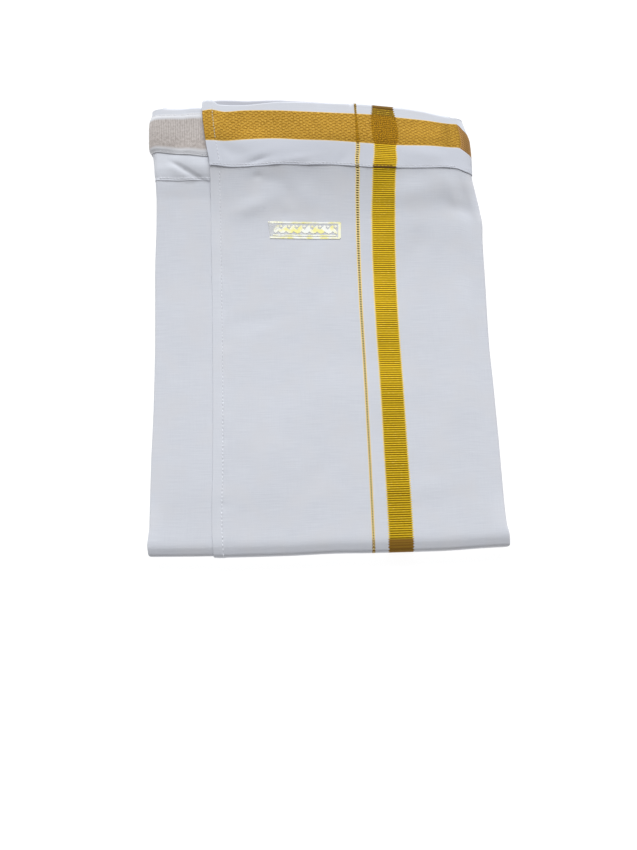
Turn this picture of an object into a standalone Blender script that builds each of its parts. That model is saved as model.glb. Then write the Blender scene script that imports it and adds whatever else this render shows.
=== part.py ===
"""A ready-made dhoti of white cotton, folded flat for sale and lying on a table.

+X runs across the folded cloth, +Y runs towards the waist and +Z is up. Sizes and
tables are in millimetres. The origin is the middle of the part's footprint.

The cloth has been folded across first and then brought round one long front fold,
so every leaf is a wall that runs over the top, round the front fold and back along
the table. Each piece is a lattice of columns across the cloth, rows along it and
levels through its thickness, placed on one of the two leaves' inner faces.
"""

import math
from collections import namedtuple

import bmesh
import bpy

MM = 0.001

ORIGIN = (-4.822, 10.947, 0.0)  # the middle of the footprint in the tables' own frame

# Walls and clearances.
WALL = 1.0  # one leaf of cloth, one waistband and one fastening tape
GAP = 0.35  # between two pieces that lie on each other
FOIL = 0.4  # the film of the foil label
PLY = WALL + GAP

# The folded stack.
STACK = 13.0  # thickness at the front fold
HALF_STACK = STACK / 2
TURN = math.pi * HALF_STACK  # length of cloth in the front fold
TABLE_END = -TURN - 330.0  # where the cloth on the table reaches the back fold
BACK_STACK = 6.5  # thickness of the back fold, which holds the two lower thirds
BACK_TURN = math.pi * BACK_STACK / 2
BACK_SETBACK = 6.0  # from the waist's edge to the back fold's axis
RETURN = 4.0  # how far a leaf runs back in past the back fold
PUFF = 0.9  # how far the middle of the body is fuller than the fold
SWELL, SWELL_FROM = 4.5, 180.0  # how the stack thickens up to the waist's seam
SWELL_POWER = 1.8
EDGE_ROLL = 1.4  # how far the top drops towards its side folds
ROLL_WIDTH = 13.0
SIDE_CLEAR = 6.0  # from the upper leaf's edge to where the leaf below starts to settle
SIDE_SAG = 9.0  # width over which a leaf settles on the table beside the leaf below it

# Distances along the cloth, counted up from the front fold towards the waist.
SEAM_UP = 283.0
TOP_UP = 336.0
LIFT_FROM, LIFT_TO = 244.0, 279.0
BAND_TURN_IN = 0.6  # radius inside the turned top edge of a waistband
OPENING, OPENING_WIDTH = 1.0, 12.0  # how the turned edge opens out by a side fold
TAPE_UP, TAPE_WIDTH = 330.7, 29.4  # the tape's upper edge, and its width

# The hem along the front leaf's free edge.
HEM = 7.6
HEM_RISE = 0.35

EDGE_TO_STRIPE = 127.0  # from the front leaf's free edge to the middle of its stripe
HEM_STEP = 0.5  # half the width of the step down from the hem

Guide = namedtuple("Guide", "up free stripe crease reach drop")
# The front leaf: its free edge, the middle of its woven stripe, the crease where it
# turns down at the right, and how far it then reaches out and drops.
FRONT_GUIDES = (
    Guide(-356, -83.5, 43.0, 101.0, 0.6, 0.6),
    Guide(-330, -83.5, 43.0, 101.4, 0.6, 0.6),
    Guide(-297, -83.5, 43.0, 103.0, 0.6, 0.6),
    Guide(-287, -83.5, 43.1, 105.2, 0.6, 0.6),
    Guide(-272, -83.5, 43.2, 109.2, 0.6, 0.6),
    Guide(-256, -83.5, 43.3, 112.8, 0.6, 0.6),
    Guide(-20, -83.5, 44.2, 115.4, 0.6, 0.6),
    Guide(-12, -83.6, 44.3, 117.6, 0.6, 0.6),
    Guide(-5, -83.8, 44.3, 118.5, 0.6, 0.6),
    Guide(2, -84.1, 44.4, 118.2, 0.6, 0.6),
    Guide(9, -84.5, 44.5, 116.9, 0.6, 0.6),
    Guide(25, -84.4, 44.4, 116.2, 0.6, 0.6),
    Guide(60, -83.4, 43.8, 115.7, 0.6, 0.6),
    Guide(110, -82.9, 42.9, 114.6, 0.6, 0.6),
    Guide(150, -82.8, 42.1, 113.5, 0.6, 0.6),
    Guide(200, -82.9, 42.0, 113.9, 0.6, 0.6),
    Guide(228, -83.1, 42.6, 113.8, 0.8, 0.8),
    Guide(242, -83.1, 43.1, 112.5, 2.9, 1.8),
    Guide(256, -83.1, 43.6, 108.5, 5.5, 3.2),
    Guide(270, -83.0, 44.4, 103.9, 7.8, 4.6),
    Guide(283, -83.2, 45.7, 101.0, 8.7, 5.2),
    Guide(300, -85.8, 47.1, 100.3, 9.2, 5.4),
    Guide(315, -87.6, 47.2, 99.9, 9.0, 4.8),
    Guide(325, -88.4, 47.1, 99.5, 7.0, 4.2),
    Guide(336, -88.6, 46.9, 98.9, 4.3, 3.2),
)

Left = namedtuple("Left", "up crease reach drop")
# The under leaf: the crease where it turns down at the left, its reach and its drop.
LEFT_GUIDES = (
    Left(-356, -118.0, 0.5, 0.5),
    Left(-290, -118.4, 0.5, 0.5),
    Left(-262, -122.6, 0.5, 0.5),
    Left(-20, -125.6, 0.5, 0.5),
    Left(-12, -126.4, 0.5, 0.5),
    Left(-5, -127.0, 0.5, 0.5),
    Left(2, -127.3, 0.5, 0.5),
    Left(8, -126.7, 0.5, 0.5),
    Left(14, -126.0, 0.5, 0.5),
    Left(28, -125.7, 0.5, 0.5),
    Left(62, -124.9, 0.5, 0.5),
    Left(100, -123.4, 0.5, 0.5),
    Left(153, -122.5, 0.5, 0.5),
    Left(203, -122.7, 0.5, 0.5),
    Left(240, -121.7, 0.5, 0.5),
    Left(268, -121.4, 0.6, 0.7),
    Left(283, -121.3, 1.4, 1.8),
    Left(293, -121.2, 2.4, 3.0),
    Left(303, -121.6, 4.2, 3.8),
    Left(318, -121.5, 4.6, 4.0),
    Left(328, -120.9, 4.4, 3.6),
    Left(336, -120.6, 3.0, 3.0),
)

Place = namedtuple("Place", "x y")
# Where the top stretch of cloth meets the round of the front fold.
FOLD_LINE = (
    Place(-130, -152.8),
    Place(-89, -153.7),
    Place(-36, -154.0),
    Place(1, -153.4),
    Place(25, -153.8),
    Place(70, -153.9),
    Place(105, -152.7),
    Place(120, -152.4),
)

Across = namedtuple("Across", "x seam top")
# The waistband of the front leaf: its lower edge and its top edge.
FRONT_BAND = (
    Across(-89.2, 128.4, 178.9),
    Across(-86.8, 128.3, 182.4),
    Across(-76, 127.2, 182.9),
    Across(-66, 125.9, 182.6),
    Across(-54, 125.9, 181.6),
    Across(-42, 126.4, 181.5),
    Across(-31, 127.0, 181.2),
    Across(-22, 126.6, 180.4),
    Across(-8, 125.9, 179.3),
    Across(8, 125.4, 177.5),
    Across(23, 123.9, 176.4),
    Across(35, 122.6, 175.6),
    Across(40, 122.4, 174.4),
    Across(55, 121.6, 172.6),
    Across(62, 121.4, 171.8),
    Across(77, 121.0, 168.7),
    Across(90, 120.8, 164.6),
    Across(98, 120.4, 162.9),
    Across(106, 117.5, 162.6),
    Across(112, 116.7, 161.9),
)
# The waistband of the under leaf, most of it covered by the front leaf.
UNDER_BAND = (
    Across(-130, 120.5, 179.0),
    Across(-118, 119.2, 179.4),
    Across(-104, 117.7, 178.7),
    Across(-96, 117.9, 179.5),
    Across(-84, 117.5, 179.4),
    Across(-34, 117.2, 176.4),
    Across(8, 115.0, 171.5),
    Across(55, 111.4, 166.4),
    Across(98, 109.4, 156.2),
)

Crease = namedtuple("Crease", "x y angle length width rise")
# Soft troughs and ridges that every layer of the body shares.
BODY_CREASES = (
    Crease(94, 93, -21, 20, 6.5, -1.2),
    Crease(88, 106, -12, 26, 6.5, 0.8),
    Crease(-104, 20, 86, 70, 9, 0.35),
    Crease(92, -40, 88, 80, 12, 0.4),
    Crease(-30, -60, 12, 60, 26, 0.35),
)
# Folds in the front leaf and its waistband alone.
FRONT_CREASES = (
    Crease(-15, 112, 62, 16, 10, -0.6),
    Crease(-34, 138, 4, 26, 11, 0.6),
    Crease(-78, 152, 80, 22, 7, 0.5),
    Crease(20, 150, -6, 40, 14, 0.4),
)
# The slanting fold in the waistband of the under leaf.
UNDER_BAND_CREASES = (
    Crease(-113, 131, -36, 15, 3.2, 1.3),
    Crease(-92, 131, -60, 9, 4.5, 0.5),
)

Lip = namedtuple("Lip", "left right back")
# The hidden folds, from the outside of the stack inwards: how far each one's edge
# stands back from the outermost.
LIPS = (
    Lip(0.4, 0.9, 1.6),
    Lip(1.3, 0.0, 0.3),
    Lip(0.0, 1.2, 2.4),
)
LIP_GROOVE = 1.0
LIP_LEVELS = 3
AIR = 0.8  # between the two halves of the hidden layers
CORE = (STACK - 4 * PLY - AIR) / 2  # thickness of each half at the front fold
CORE_LEFT_INSET = 1.4
CORE_BACK_INSET = 5.0
INNER_LIMIT = 96.3  # where the inner leaves end inside the rolled end of the waist
INNER_SPREAD = 0.12  # how fast that end moves outwards down the cloth
RIGHT_CLEARANCE = 1.2

Label = namedtuple("Label", "x y width height tilt")
LABEL = Label(-14.9, 76.9, 53.5, 12.8, -2.3)

# The lattices' columns and rows, closer where the cloth turns or steps.
CURL_ANGLES = (28, 56, 84, 112, 140)
STRIPE_TO_CREASE = (1.16, 1.32, 1.48, 1.65, 1.77, 1.88, 2.0)
LEFT_SHARES = (0, 0.016, 0.038, 0.06, 0.1, 0.14, 0.18, 0.3, 0.5, 0.71)
CORE_LEFT_SHARES = (0, 0.016, 0.038, 0.06, 0.14, 0.3, 0.5, 0.71)
RIGHT_SHARES = (0.755, 0.802, 0.85, 0.9, 0.935, 0.968, 1.0)
BODY_UPS = (275, 266, 256, 246, 234, 216, 192, 162, 130, 98, 68, 42, 22, 9, 1)
TABLE_UPS = (-140, -256, -287, -318)
WAIST_TOP_UP = 332  # the leaves' last row inside the turned waistband
BAND_UP = 292  # the waistbands' row between their lower edge and the tape
PAST_HEM = 0.14  # the first even column past the hem, on the way to the stripe
TOP_TURNS = (0, 35, 70, 105, 140)
FRONT_TURN_STEPS = 8
BACK_TURN_STEPS = 6

WHITE_COTTON = ((0.70, 0.72, 0.77), 0.85, 0.0)
LOOP_PILE = ((0.60, 0.55, 0.50), 0.95, 0.0)
GOLD_FOIL = ((0.80, 0.62, 0.20), 0.30, 0.9)


def smooth(low, high, at):
    """0 below low, 1 above high and a smooth rise between."""
    share = min(1.0, max(0.0, (at - low) / (high - low)))
    return share * share * (3 - 2 * share)


def read(rows, column, at):
    """The value of a column where the rows' first column is at, on a curve that
    passes through every row and doesn't overshoot."""
    places = [row[0] for row in rows]
    values = [getattr(row, column) for row in rows]
    if at <= places[0]:
        return values[0]
    if at >= places[-1]:
        return values[-1]
    i = next(n for n in range(len(places) - 1) if at <= places[n + 1])
    steps = [
        (values[n + 1] - values[n]) / (places[n + 1] - places[n])
        if 0 <= n < len(places) - 1
        else None
        for n in (i - 1, i, i + 1)
    ]
    start = joint_slope(steps[0], steps[1])
    end = joint_slope(steps[1], steps[2])
    width = places[i + 1] - places[i]
    t = (at - places[i]) / width
    return (
        values[i] * (2 * t**3 - 3 * t**2 + 1)
        + values[i + 1] * (3 * t**2 - 2 * t**3)
        + width * start * (t**3 - 2 * t**2 + t)
        + width * end * (t**3 - t**2)
    )


def joint_slope(before, after):
    """The slope of a curve at a row, from the slopes of the straight lines beside it."""
    if before is None or after is None:
        return after if before is None else before
    if before * after <= 0:
        return 0.0
    return 2 * before * after / (before + after)


def creased(creases, x, y):
    """The height that a table of creases adds at a place."""
    height = 0.0
    for crease in creases:
        turn = math.radians(crease.angle)
        along = (x - crease.x) * math.cos(turn) + (y - crease.y) * math.sin(turn)
        aside = (y - crease.y) * math.cos(turn) - (x - crease.x) * math.sin(turn)
        height += crease.rise * math.exp(
            -((along / crease.length) ** 2) - (aside / crease.width) ** 2
        )
    return height


def fold_centre_y(x):
    """Where the front fold's axis lies."""
    return read(FOLD_LINE, "y", x)


def level_scale(x):
    """Distance on the table for each millimetre of level."""
    return (read(FRONT_BAND, "seam", x) - fold_centre_y(x)) / SEAM_UP


def level_at(x, y):
    """The level of a place: 0 at the front fold and SEAM_UP at the front seam."""
    return (y - fold_centre_y(x)) / level_scale(x)


def row_y(band, x, up):
    """The place on the table of a row of the cloth. The rows of every layer lie over
    each other up to LIFT_FROM, and above it they follow the layer's own waistband."""
    if up <= LIFT_FROM:
        return fold_centre_y(x) + up * level_scale(x)
    parting = row_y(band, x, LIFT_FROM)
    seam = read(band, "seam", x)
    if up <= SEAM_UP:
        return parting + (seam - parting) * (up - LIFT_FROM) / (SEAM_UP - LIFT_FROM)
    top = read(band, "top", x)
    return seam + (top - seam) * (up - SEAM_UP) / (TOP_UP - SEAM_UP)


def body_rise(x, y):
    """How far the body stands above the height that it has at the front fold."""
    level = level_at(x, y)
    share = min(1.0, max(0.0, level / TOP_UP))
    fullness = PUFF * math.sin(math.pi * share ** 0.9)
    left = 1 - smooth(0, ROLL_WIDTH, x - read(LEFT_GUIDES, "crease", level))
    right = 1 - smooth(0, ROLL_WIDTH, read(FRONT_GUIDES, "crease", level) - x)
    climb = min(1.0, max(0.0, (level - SWELL_FROM) / (SEAM_UP - SWELL_FROM)))
    rounded = EDGE_ROLL * (left + right)
    fade = smooth(0, 40, level)
    form = fullness - rounded + creased(BODY_CREASES, x, y)
    return SWELL * climb**SWELL_POWER + fade * form


def lifted(up):
    """How far the front leaf rides over the under leaf's waistband and tape."""
    return 2 * PLY * smooth(LIFT_FROM, LIFT_TO, up)


def round_fold(x, centre_y, out_y, middle, radius, angle):
    """A point round a fold whose axis runs across the cloth. The angle runs from
    90 at its top to -90 at its bottom."""
    turn = math.radians(angle)
    return (
        x,
        centre_y + out_y * radius * math.cos(turn),
        middle + radius * math.sin(turn),
    )


def wrap(x, y_top, rise, up, depth):
    """A point that lies depth below the outer skin of the stack: on the top stretch,
    round the front fold, on the table, round the back fold or back inside."""
    if up >= 0:
        return (x, y_top, STACK + rise - depth)
    front = fold_centre_y(x)
    if up > -TURN:
        angle = 90 + 180 * up / TURN
        return round_fold(x, front, -1, HALF_STACK, HALF_STACK - depth, angle)
    back = read(UNDER_BAND, "top", x) - BACK_SETBACK
    if up >= TABLE_END:
        return (x, front + (back - front) * (up + TURN) / (TABLE_END + TURN), depth)
    beyond = TABLE_END - up
    if beyond < BACK_TURN:
        angle = -90 + 180 * beyond / BACK_TURN
        middle = BACK_STACK / 2
        return round_fold(x, back, 1, middle, middle - depth, angle)
    return (x, back - (beyond - BACK_TURN), BACK_STACK - depth)


def side_turn(angle, up):
    """The turn of a leaf's side fold, which opens out round the back fold."""
    return angle * (1 - 0.4 * smooth(0, 20, TABLE_END + 20 - up))


def curl(angle, reach, drop, out):
    """A fold seen end on: how far it stands out and down at an angle, for a skin
    that lies out beyond the inner one."""
    turn = math.radians(angle)
    return (
        (reach + out) * math.sin(turn),
        drop * (1 - math.cos(turn)) - out * math.cos(turn),
    )


def turned_in(up, top_angle, from_crease):
    """The turned top edge of a band, which opens out flat towards its side fold."""
    kept = smooth(0, OPENING_WIDTH, from_crease)
    return up + (1 - kept) * OPENING * top_angle / 90, top_angle * kept


def front_point(column, row, out):
    """A point out beyond the inner face of the front leaf.

    column is (share, angle): share runs 0 at the free edge, 1 at the stripe, 2 at
    the right crease, and angle is how far the leaf has turned down there.
    row is (up, angle): the distance up the cloth, and the turn of its top edge.
    """
    share, side_angle = column
    up, top_angle = row
    free = read(FRONT_GUIDES, "free", up)
    stripe = read(FRONT_GUIDES, "stripe", up)
    crease = read(FRONT_GUIDES, "crease", up)
    reach = read(FRONT_GUIDES, "reach", up)
    drop = read(FRONT_GUIDES, "drop", up)
    flat_x = (
        free + (stripe - free) * share
        if share <= 1
        else stripe + (crease - stripe) * (share - 1)
    )
    side_x, side_down = curl(side_turn(side_angle, up), reach, drop, out)
    up, top_angle = turned_in(up, top_angle, crease - flat_x)
    top_y, top_down = curl(top_angle, BAND_TURN_IN, BAND_TURN_IN, out)
    x = flat_x + side_x
    depth = WALL + side_down + top_down + out
    y = row_y(FRONT_BAND, x, min(up, TOP_UP)) if up >= 0 else 0.0
    rise = body_rise(flat_x, y) + lifted(up)
    rise += smooth(LIFT_FROM, LIFT_TO, up) * creased(FRONT_CREASES, flat_x, y)
    return wrap(x, y + top_y, rise, up, depth)


def under_point(column, row, out):
    """A point out beyond the inner face of the under leaf.

    column is (x share, angle): share runs 0 at the left crease and 1 at the right
    end, and angle is how far the leaf has turned down at the left.
    """
    share, side_angle = column
    up, top_angle = row
    level = up
    for _ in range(2 if up > 0 else 1):
        crease = read(LEFT_GUIDES, "crease", level)
        flat_x = crease + (inner_right(level) - crease) * share
        level = level_at(flat_x, row_y(UNDER_BAND, flat_x, up))
    reach = read(LEFT_GUIDES, "reach", level if up > 0 else up)
    drop = read(LEFT_GUIDES, "drop", level if up > 0 else up)
    side_x, side_down = curl(side_turn(side_angle, up), reach, drop, out)
    up, top_angle = turned_in(up, top_angle, flat_x - crease)
    top_y, top_down = curl(top_angle, BAND_TURN_IN, BAND_TURN_IN, out)
    x = flat_x - side_x
    depth = WALL + PLY + side_down + top_down + out
    y = row_y(UNDER_BAND, x, min(up, TOP_UP)) if up >= 0 else 0.0
    rise = body_rise(flat_x, y)
    if out > WALL:
        rise += creased(UNDER_BAND_CREASES, flat_x, y)
    beside = smooth(0, SIDE_SAG, read(FRONT_GUIDES, "free", up) - SIDE_CLEAR - x)
    settled = PLY * beside * smooth(TURN * 0.6, TURN, -up)
    point = wrap(x, y + top_y, rise, up, depth)
    return (point[0], point[1], point[2] - settled)


def inner_right(level):
    """Where the leaves inside the front leaf end at the right."""
    kept = read(FRONT_GUIDES, "crease", level) - RIGHT_CLEARANCE
    return min(kept, INNER_LIMIT + INNER_SPREAD * max(0.0, LIFT_TO - level))


def core_point(column, row, level):
    """A point of the hidden layers. level runs from 0 at their outer skin to
    LIP_LEVELS * len(LIPS) at the middle of the stack."""
    up = row
    lip = LIPS[min(level // LIP_LEVELS, len(LIPS) - 1)]
    within = level / LIP_LEVELS
    groove = LIP_GROOVE * (1 - abs(math.sin(math.pi * within)) ** 0.7)
    inward = within / len(LIPS)
    place = up
    for _ in range(2 if up > 0 else 1):
        left = read(LEFT_GUIDES, "crease", place) + CORE_LEFT_INSET + lip.left + groove
        right = inner_right(place) - lip.right - groove
        x = left + (right - left) * column
        back = read(UNDER_BAND, "top", x) - CORE_BACK_INSET - lip.back - groove
        y = row_y(UNDER_BAND, x, min(up, SEAM_UP))
        y += (back - y) * max(0.0, up - SEAM_UP) / (TOP_UP - SEAM_UP)
        place = level_at(x, y)
    if -TURN <= up < 0:
        return wrap(x, 0, 0, up, 2 * PLY + CORE * inward)
    if up < 0:
        flat = wrap(x, 0, 0, up, 2 * PLY + CORE * inward)
        return (x, flat[1] - lip.back - groove, flat[2])
    skin = STACK - 2 * PLY + body_rise(x, y)
    return (x, y, skin - (skin - HALF_STACK - AIR / 2) * inward)


def material(name, look):
    colour, roughness, metallic = look
    made = bpy.data.materials.new(name)
    made.use_nodes = True
    shader = made.node_tree.nodes["Principled BSDF"]
    shader.inputs["Base Color"].default_value = (*colour, 1)
    shader.inputs["Roughness"].default_value = roughness
    shader.inputs["Metallic"].default_value = metallic
    return made


def lattice(name, columns, rows, levels, point, look):
    """A closed solid: the outside of a lattice of columns, rows and levels."""
    mesh = bpy.data.meshes.new(name)
    shell = bmesh.new()
    last = (len(columns) - 1, len(rows) - 1, len(levels) - 1)
    made = {}

    def corner(*index):
        if index not in made:
            place = point(columns[index[0]], rows[index[1]], levels[index[2]])
            made[index] = shell.verts.new([(a - b) * MM for a, b in zip(place, ORIGIN)])
        return made[index]

    for axis in range(3):
        first, second = [n for n in range(3) if n != axis]
        for side in (0, last[axis]):
            for a in range(last[first]):
                for b in range(last[second]):
                    quad = []
                    for da, db in ((0, 0), (1, 0), (1, 1), (0, 1)):
                        index = [side] * 3
                        index[first], index[second] = a + da, b + db
                        quad.append(corner(*index))
                    shell.faces.new(quad)
    bmesh.ops.recalc_face_normals(shell, faces=shell.faces)
    shell.to_mesh(mesh)
    shell.free()
    mesh.shade_smooth()
    mesh.set_sharp_from_angle(angle=math.radians(40))
    made_object = bpy.data.objects.new(name, mesh)
    mesh.materials.append(look)
    bpy.context.scene.collection.objects.link(made_object)
    return made_object


def shares(count, start=0.0, end=1.0):
    """Even steps from start to end."""
    return [start + (end - start) * n / count for n in range(count + 1)]


def hemmed(column, row, out):
    """The front leaf and what lies on it, raised over the leaf's hem."""
    if out > 0 and column[0] < HEM / EDGE_TO_STRIPE:
        out += HEM_RISE * smooth(-TURN, -TURN / 2, row[0])
    return front_point(column, row, out)


def label_point(column, row, out):
    """The label, laid on the front leaf's outer face."""
    turn = math.radians(LABEL.tilt)
    along, aside = column * LABEL.width / 2, row * LABEL.height / 2
    x = LABEL.x + along * math.cos(turn) - aside * math.sin(turn)
    y = LABEL.y + along * math.sin(turn) + aside * math.cos(turn)
    height = STACK + body_rise(x, y) + GAP
    return (x, y, height + out)


def turned(angles):
    """The rows round a waistband's turned top edge."""
    return [(TOP_UP - BAND_TURN_IN - 2 * PLY, angle) for angle in angles]


def build():
    for old in list(bpy.data.objects):
        bpy.data.objects.remove(old)
    cotton = material("white_cotton", WHITE_COTTON)
    pile = material("loop_pile", LOOP_PILE)
    foil = material("gold_foil", GOLD_FOIL)

    tape_ups = shares(2, TAPE_UP, TAPE_UP - TAPE_WIDTH)
    flat_rows = [WAIST_TOP_UP, *tape_ups[1:], BAND_UP, SEAM_UP, *BODY_UPS]
    fold_rows = shares(FRONT_TURN_STEPS, 0, -TURN)
    table_rows = [*TABLE_UPS, TABLE_END]
    back_end = TABLE_END - BACK_TURN
    back_rows = [*shares(BACK_TURN_STEPS, TABLE_END, back_end)[1:], back_end - RETURN]
    leaf_ups = flat_rows + fold_rows + table_rows + back_rows
    leaf_rows = [(up, 0) for up in leaf_ups]

    hem_sides = [(HEM + step) / EDGE_TO_STRIPE for step in (-HEM_STEP, HEM_STEP)]
    front_shares = [0, *hem_sides, *shares(9, PAST_HEM, 1.0), *STRIPE_TO_CREASE]
    front_columns = [(n, 0) for n in front_shares]
    side_curl = [(2, angle) for angle in CURL_ANGLES]
    lattice(
        "front_leaf", front_columns + side_curl, leaf_rows, [0, WALL], hemmed, cotton
    )

    left_curl = [(0, angle) for angle in CURL_ANGLES[::-1]]
    under_columns = left_curl + [(n, 0) for n in (*LEFT_SHARES, *RIGHT_SHARES)]
    lattice("under_leaf", under_columns, leaf_rows, [0, WALL], under_point, cotton)

    lattice(
        "folded_layers",
        [*CORE_LEFT_SHARES, *RIGHT_SHARES],
        [TOP_UP, *flat_rows[1:]] + fold_rows + table_rows[:-1],
        list(range(LIP_LEVELS * len(LIPS) + 1)),
        core_point,
        cotton,
    )

    top_turn = turned(TOP_TURNS)
    band_ups = [*tape_ups, BAND_UP, SEAM_UP]
    band_rows = top_turn[::-1] + [(up, 0) for up in band_ups]
    band = [PLY, PLY + WALL]
    lattice(
        "front_waistband", front_columns + side_curl, band_rows, band, hemmed, cotton
    )
    lattice("under_waistband", under_columns, band_rows, band, under_point, cotton)

    tape_rows = [(up, 0) for up in tape_ups]
    tape_columns = under_columns[1:]
    tape = [2 * PLY, 2 * PLY + WALL]
    lattice("loop_tape", tape_columns, tape_rows, tape, under_point, pile)

    lattice("foil_label", shares(6, -1, 1), shares(2, -1, 1), [0, FOIL], label_point, foil)


build()
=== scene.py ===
import math
from functools import partial

import bpy
import numpy as np
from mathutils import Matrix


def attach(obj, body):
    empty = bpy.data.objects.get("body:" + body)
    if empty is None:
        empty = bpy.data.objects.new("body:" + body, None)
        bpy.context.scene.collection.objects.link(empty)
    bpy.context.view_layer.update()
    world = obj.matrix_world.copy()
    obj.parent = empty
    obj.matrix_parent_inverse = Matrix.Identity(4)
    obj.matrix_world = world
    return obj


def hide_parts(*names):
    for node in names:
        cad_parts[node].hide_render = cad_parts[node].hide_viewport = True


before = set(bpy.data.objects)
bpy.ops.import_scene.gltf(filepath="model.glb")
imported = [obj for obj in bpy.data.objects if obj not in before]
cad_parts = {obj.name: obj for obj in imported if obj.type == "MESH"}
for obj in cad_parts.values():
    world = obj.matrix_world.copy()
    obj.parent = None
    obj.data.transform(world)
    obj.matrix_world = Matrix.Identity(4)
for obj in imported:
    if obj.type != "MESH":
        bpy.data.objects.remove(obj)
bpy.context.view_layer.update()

mm = 0.001

# Lengths are in mm, angles in degrees. Places are counted as in the cloth's own tables,
# whose zero lies at "middle" seen from the part's origin.
stack = {
    "middle": (4.822, -10.947),
    "height": 13.0,  # at the front fold
    "wall": 1.0,  # a leaf with the air beside it
    "ply": 1.35,  # from one leaf's face to the next one's
    "puff": 0.9, "edgeRoll": 1.4, "rollWidth": 13.0,
    "swell": 4.5, "swellFrom": 180.0, "swellPower": 1.8,  # it thickens towards the waist
    "seamUp": 283.0, "topUp": 336.0,  # levels of the waist seam and the waist's top
    "liftFrom": 244.0, "liftTo": 283.0,  # the front leaf climbs over the under waistband
    "tableRun": 330.0,
    "backHeight": 6.5, "backSetback": 6.0, "backReturn": 4.0,
    "opening": 1.0, "openingWidth": 12.0, "turnIn": 0.6,
    "sideClear": 6.0, "sideSag": 9.0,
    "rightClearance": 1.2, "innerLimit": 96.3, "innerSpread": 0.12,
    "air": 0.8,  # between the two halves of the hidden layers
}
wall, ply, seamUp, topUp = (stack[name] for name in ("wall", "ply", "seamUp", "topUp"))
frontTurn = math.pi * stack["height"] / 2
backTurn = math.pi * stack["backHeight"] / 2
tableEnd = -frontTurn - stack["tableRun"]


def curveThrough(places, values):
    # a smooth curve through every point that never overshoots them
    places = np.array(places, float)
    values = np.array(values, float)
    steps = np.diff(values) / np.diff(places)
    product = steps[:-1] * steps[1:]
    total = np.where(product > 0, steps[:-1] + steps[1:], 1.0)
    slopes = np.concatenate(
        ([steps[0]], np.where(product > 0, 2 * product / total, 0.0), [steps[-1]])
    )

    def valueAt(at):
        at = np.clip(at, places[0], places[-1])
        i = np.clip(np.searchsorted(places, at) - 1, 0, len(places) - 2)
        width = places[i + 1] - places[i]
        t = (at - places[i]) / width
        return (
            values[i] * (2 * t**3 - 3 * t**2 + 1)
            + values[i + 1] * (3 * t**2 - 2 * t**3)
            + width * slopes[i] * (t**3 - 2 * t**2 + t)
            + width * slopes[i + 1] * (t**3 - t**2)
        )

    return valueAt


def guide(names, rows):
    # one curve for each named column, read against the first column
    columns = list(zip(*rows))
    return {n: curveThrough(columns[0], c) for n, c in zip(names.split(), columns)}


frontGuide = guide("up free crease reach drop", [
    (-356, -83.5, 101.0, 0.6, 0.6),
    (-330, -83.5, 101.4, 0.6, 0.6),
    (-297, -83.5, 103.0, 0.6, 0.6),
    (-287, -83.5, 105.2, 0.6, 0.6),
    (-272, -83.5, 109.2, 0.6, 0.6),
    (-256, -83.5, 112.8, 0.6, 0.6),
    (-20, -83.5, 115.4, 0.6, 0.6),
    (-12, -83.6, 117.6, 0.6, 0.6),
    (-5, -83.8, 118.5, 0.6, 0.6),
    (2, -84.1, 118.2, 0.6, 0.6),
    (9, -84.5, 116.9, 0.6, 0.6),
    (25, -84.4, 116.2, 0.6, 0.6),
    (60, -83.4, 115.7, 0.6, 0.6),
    (110, -82.9, 114.6, 0.6, 0.6),
    (150, -82.8, 113.5, 0.6, 0.6),
    (200, -82.9, 113.9, 0.6, 0.6),
    (228, -83.1, 113.8, 0.8, 0.8),
    (242, -83.1, 112.5, 2.9, 1.8),
    (256, -83.1, 108.5, 5.5, 3.2),
    (270, -83.0, 103.9, 7.8, 4.6),
    (283, -83.2, 101.0, 8.7, 5.2),
    (300, -85.8, 100.3, 9.2, 5.4),
    (315, -87.6, 99.9, 9.0, 4.8),
    (325, -88.4, 99.5, 7.0, 4.2),
    (336, -88.6, 98.9, 4.3, 3.2),
])
leftGuide = guide("up crease reach drop", [
    (-356, -118.0, 0.5, 0.5),
    (-290, -118.4, 0.5, 0.5),
    (-262, -122.6, 0.5, 0.5),
    (-20, -125.6, 0.5, 0.5),
    (-12, -126.4, 0.5, 0.5),
    (-5, -127.0, 0.5, 0.5),
    (2, -127.3, 0.5, 0.5),
    (8, -126.7, 0.5, 0.5),
    (14, -126.0, 0.5, 0.5),
    (28, -125.7, 0.5, 0.5),
    (62, -124.9, 0.5, 0.5),
    (100, -123.4, 0.5, 0.5),
    (153, -122.5, 0.5, 0.5),
    (203, -122.7, 0.5, 0.5),
    (240, -121.7, 0.5, 0.5),
    (268, -121.4, 0.6, 0.7),
    (283, -121.3, 1.4, 1.8),
    (293, -121.2, 2.4, 3.0),
    (303, -121.6, 4.2, 3.8),
    (318, -121.5, 4.6, 4.0),
    (328, -120.9, 4.4, 3.6),
    (336, -120.6, 3.0, 3.0),
])
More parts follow.
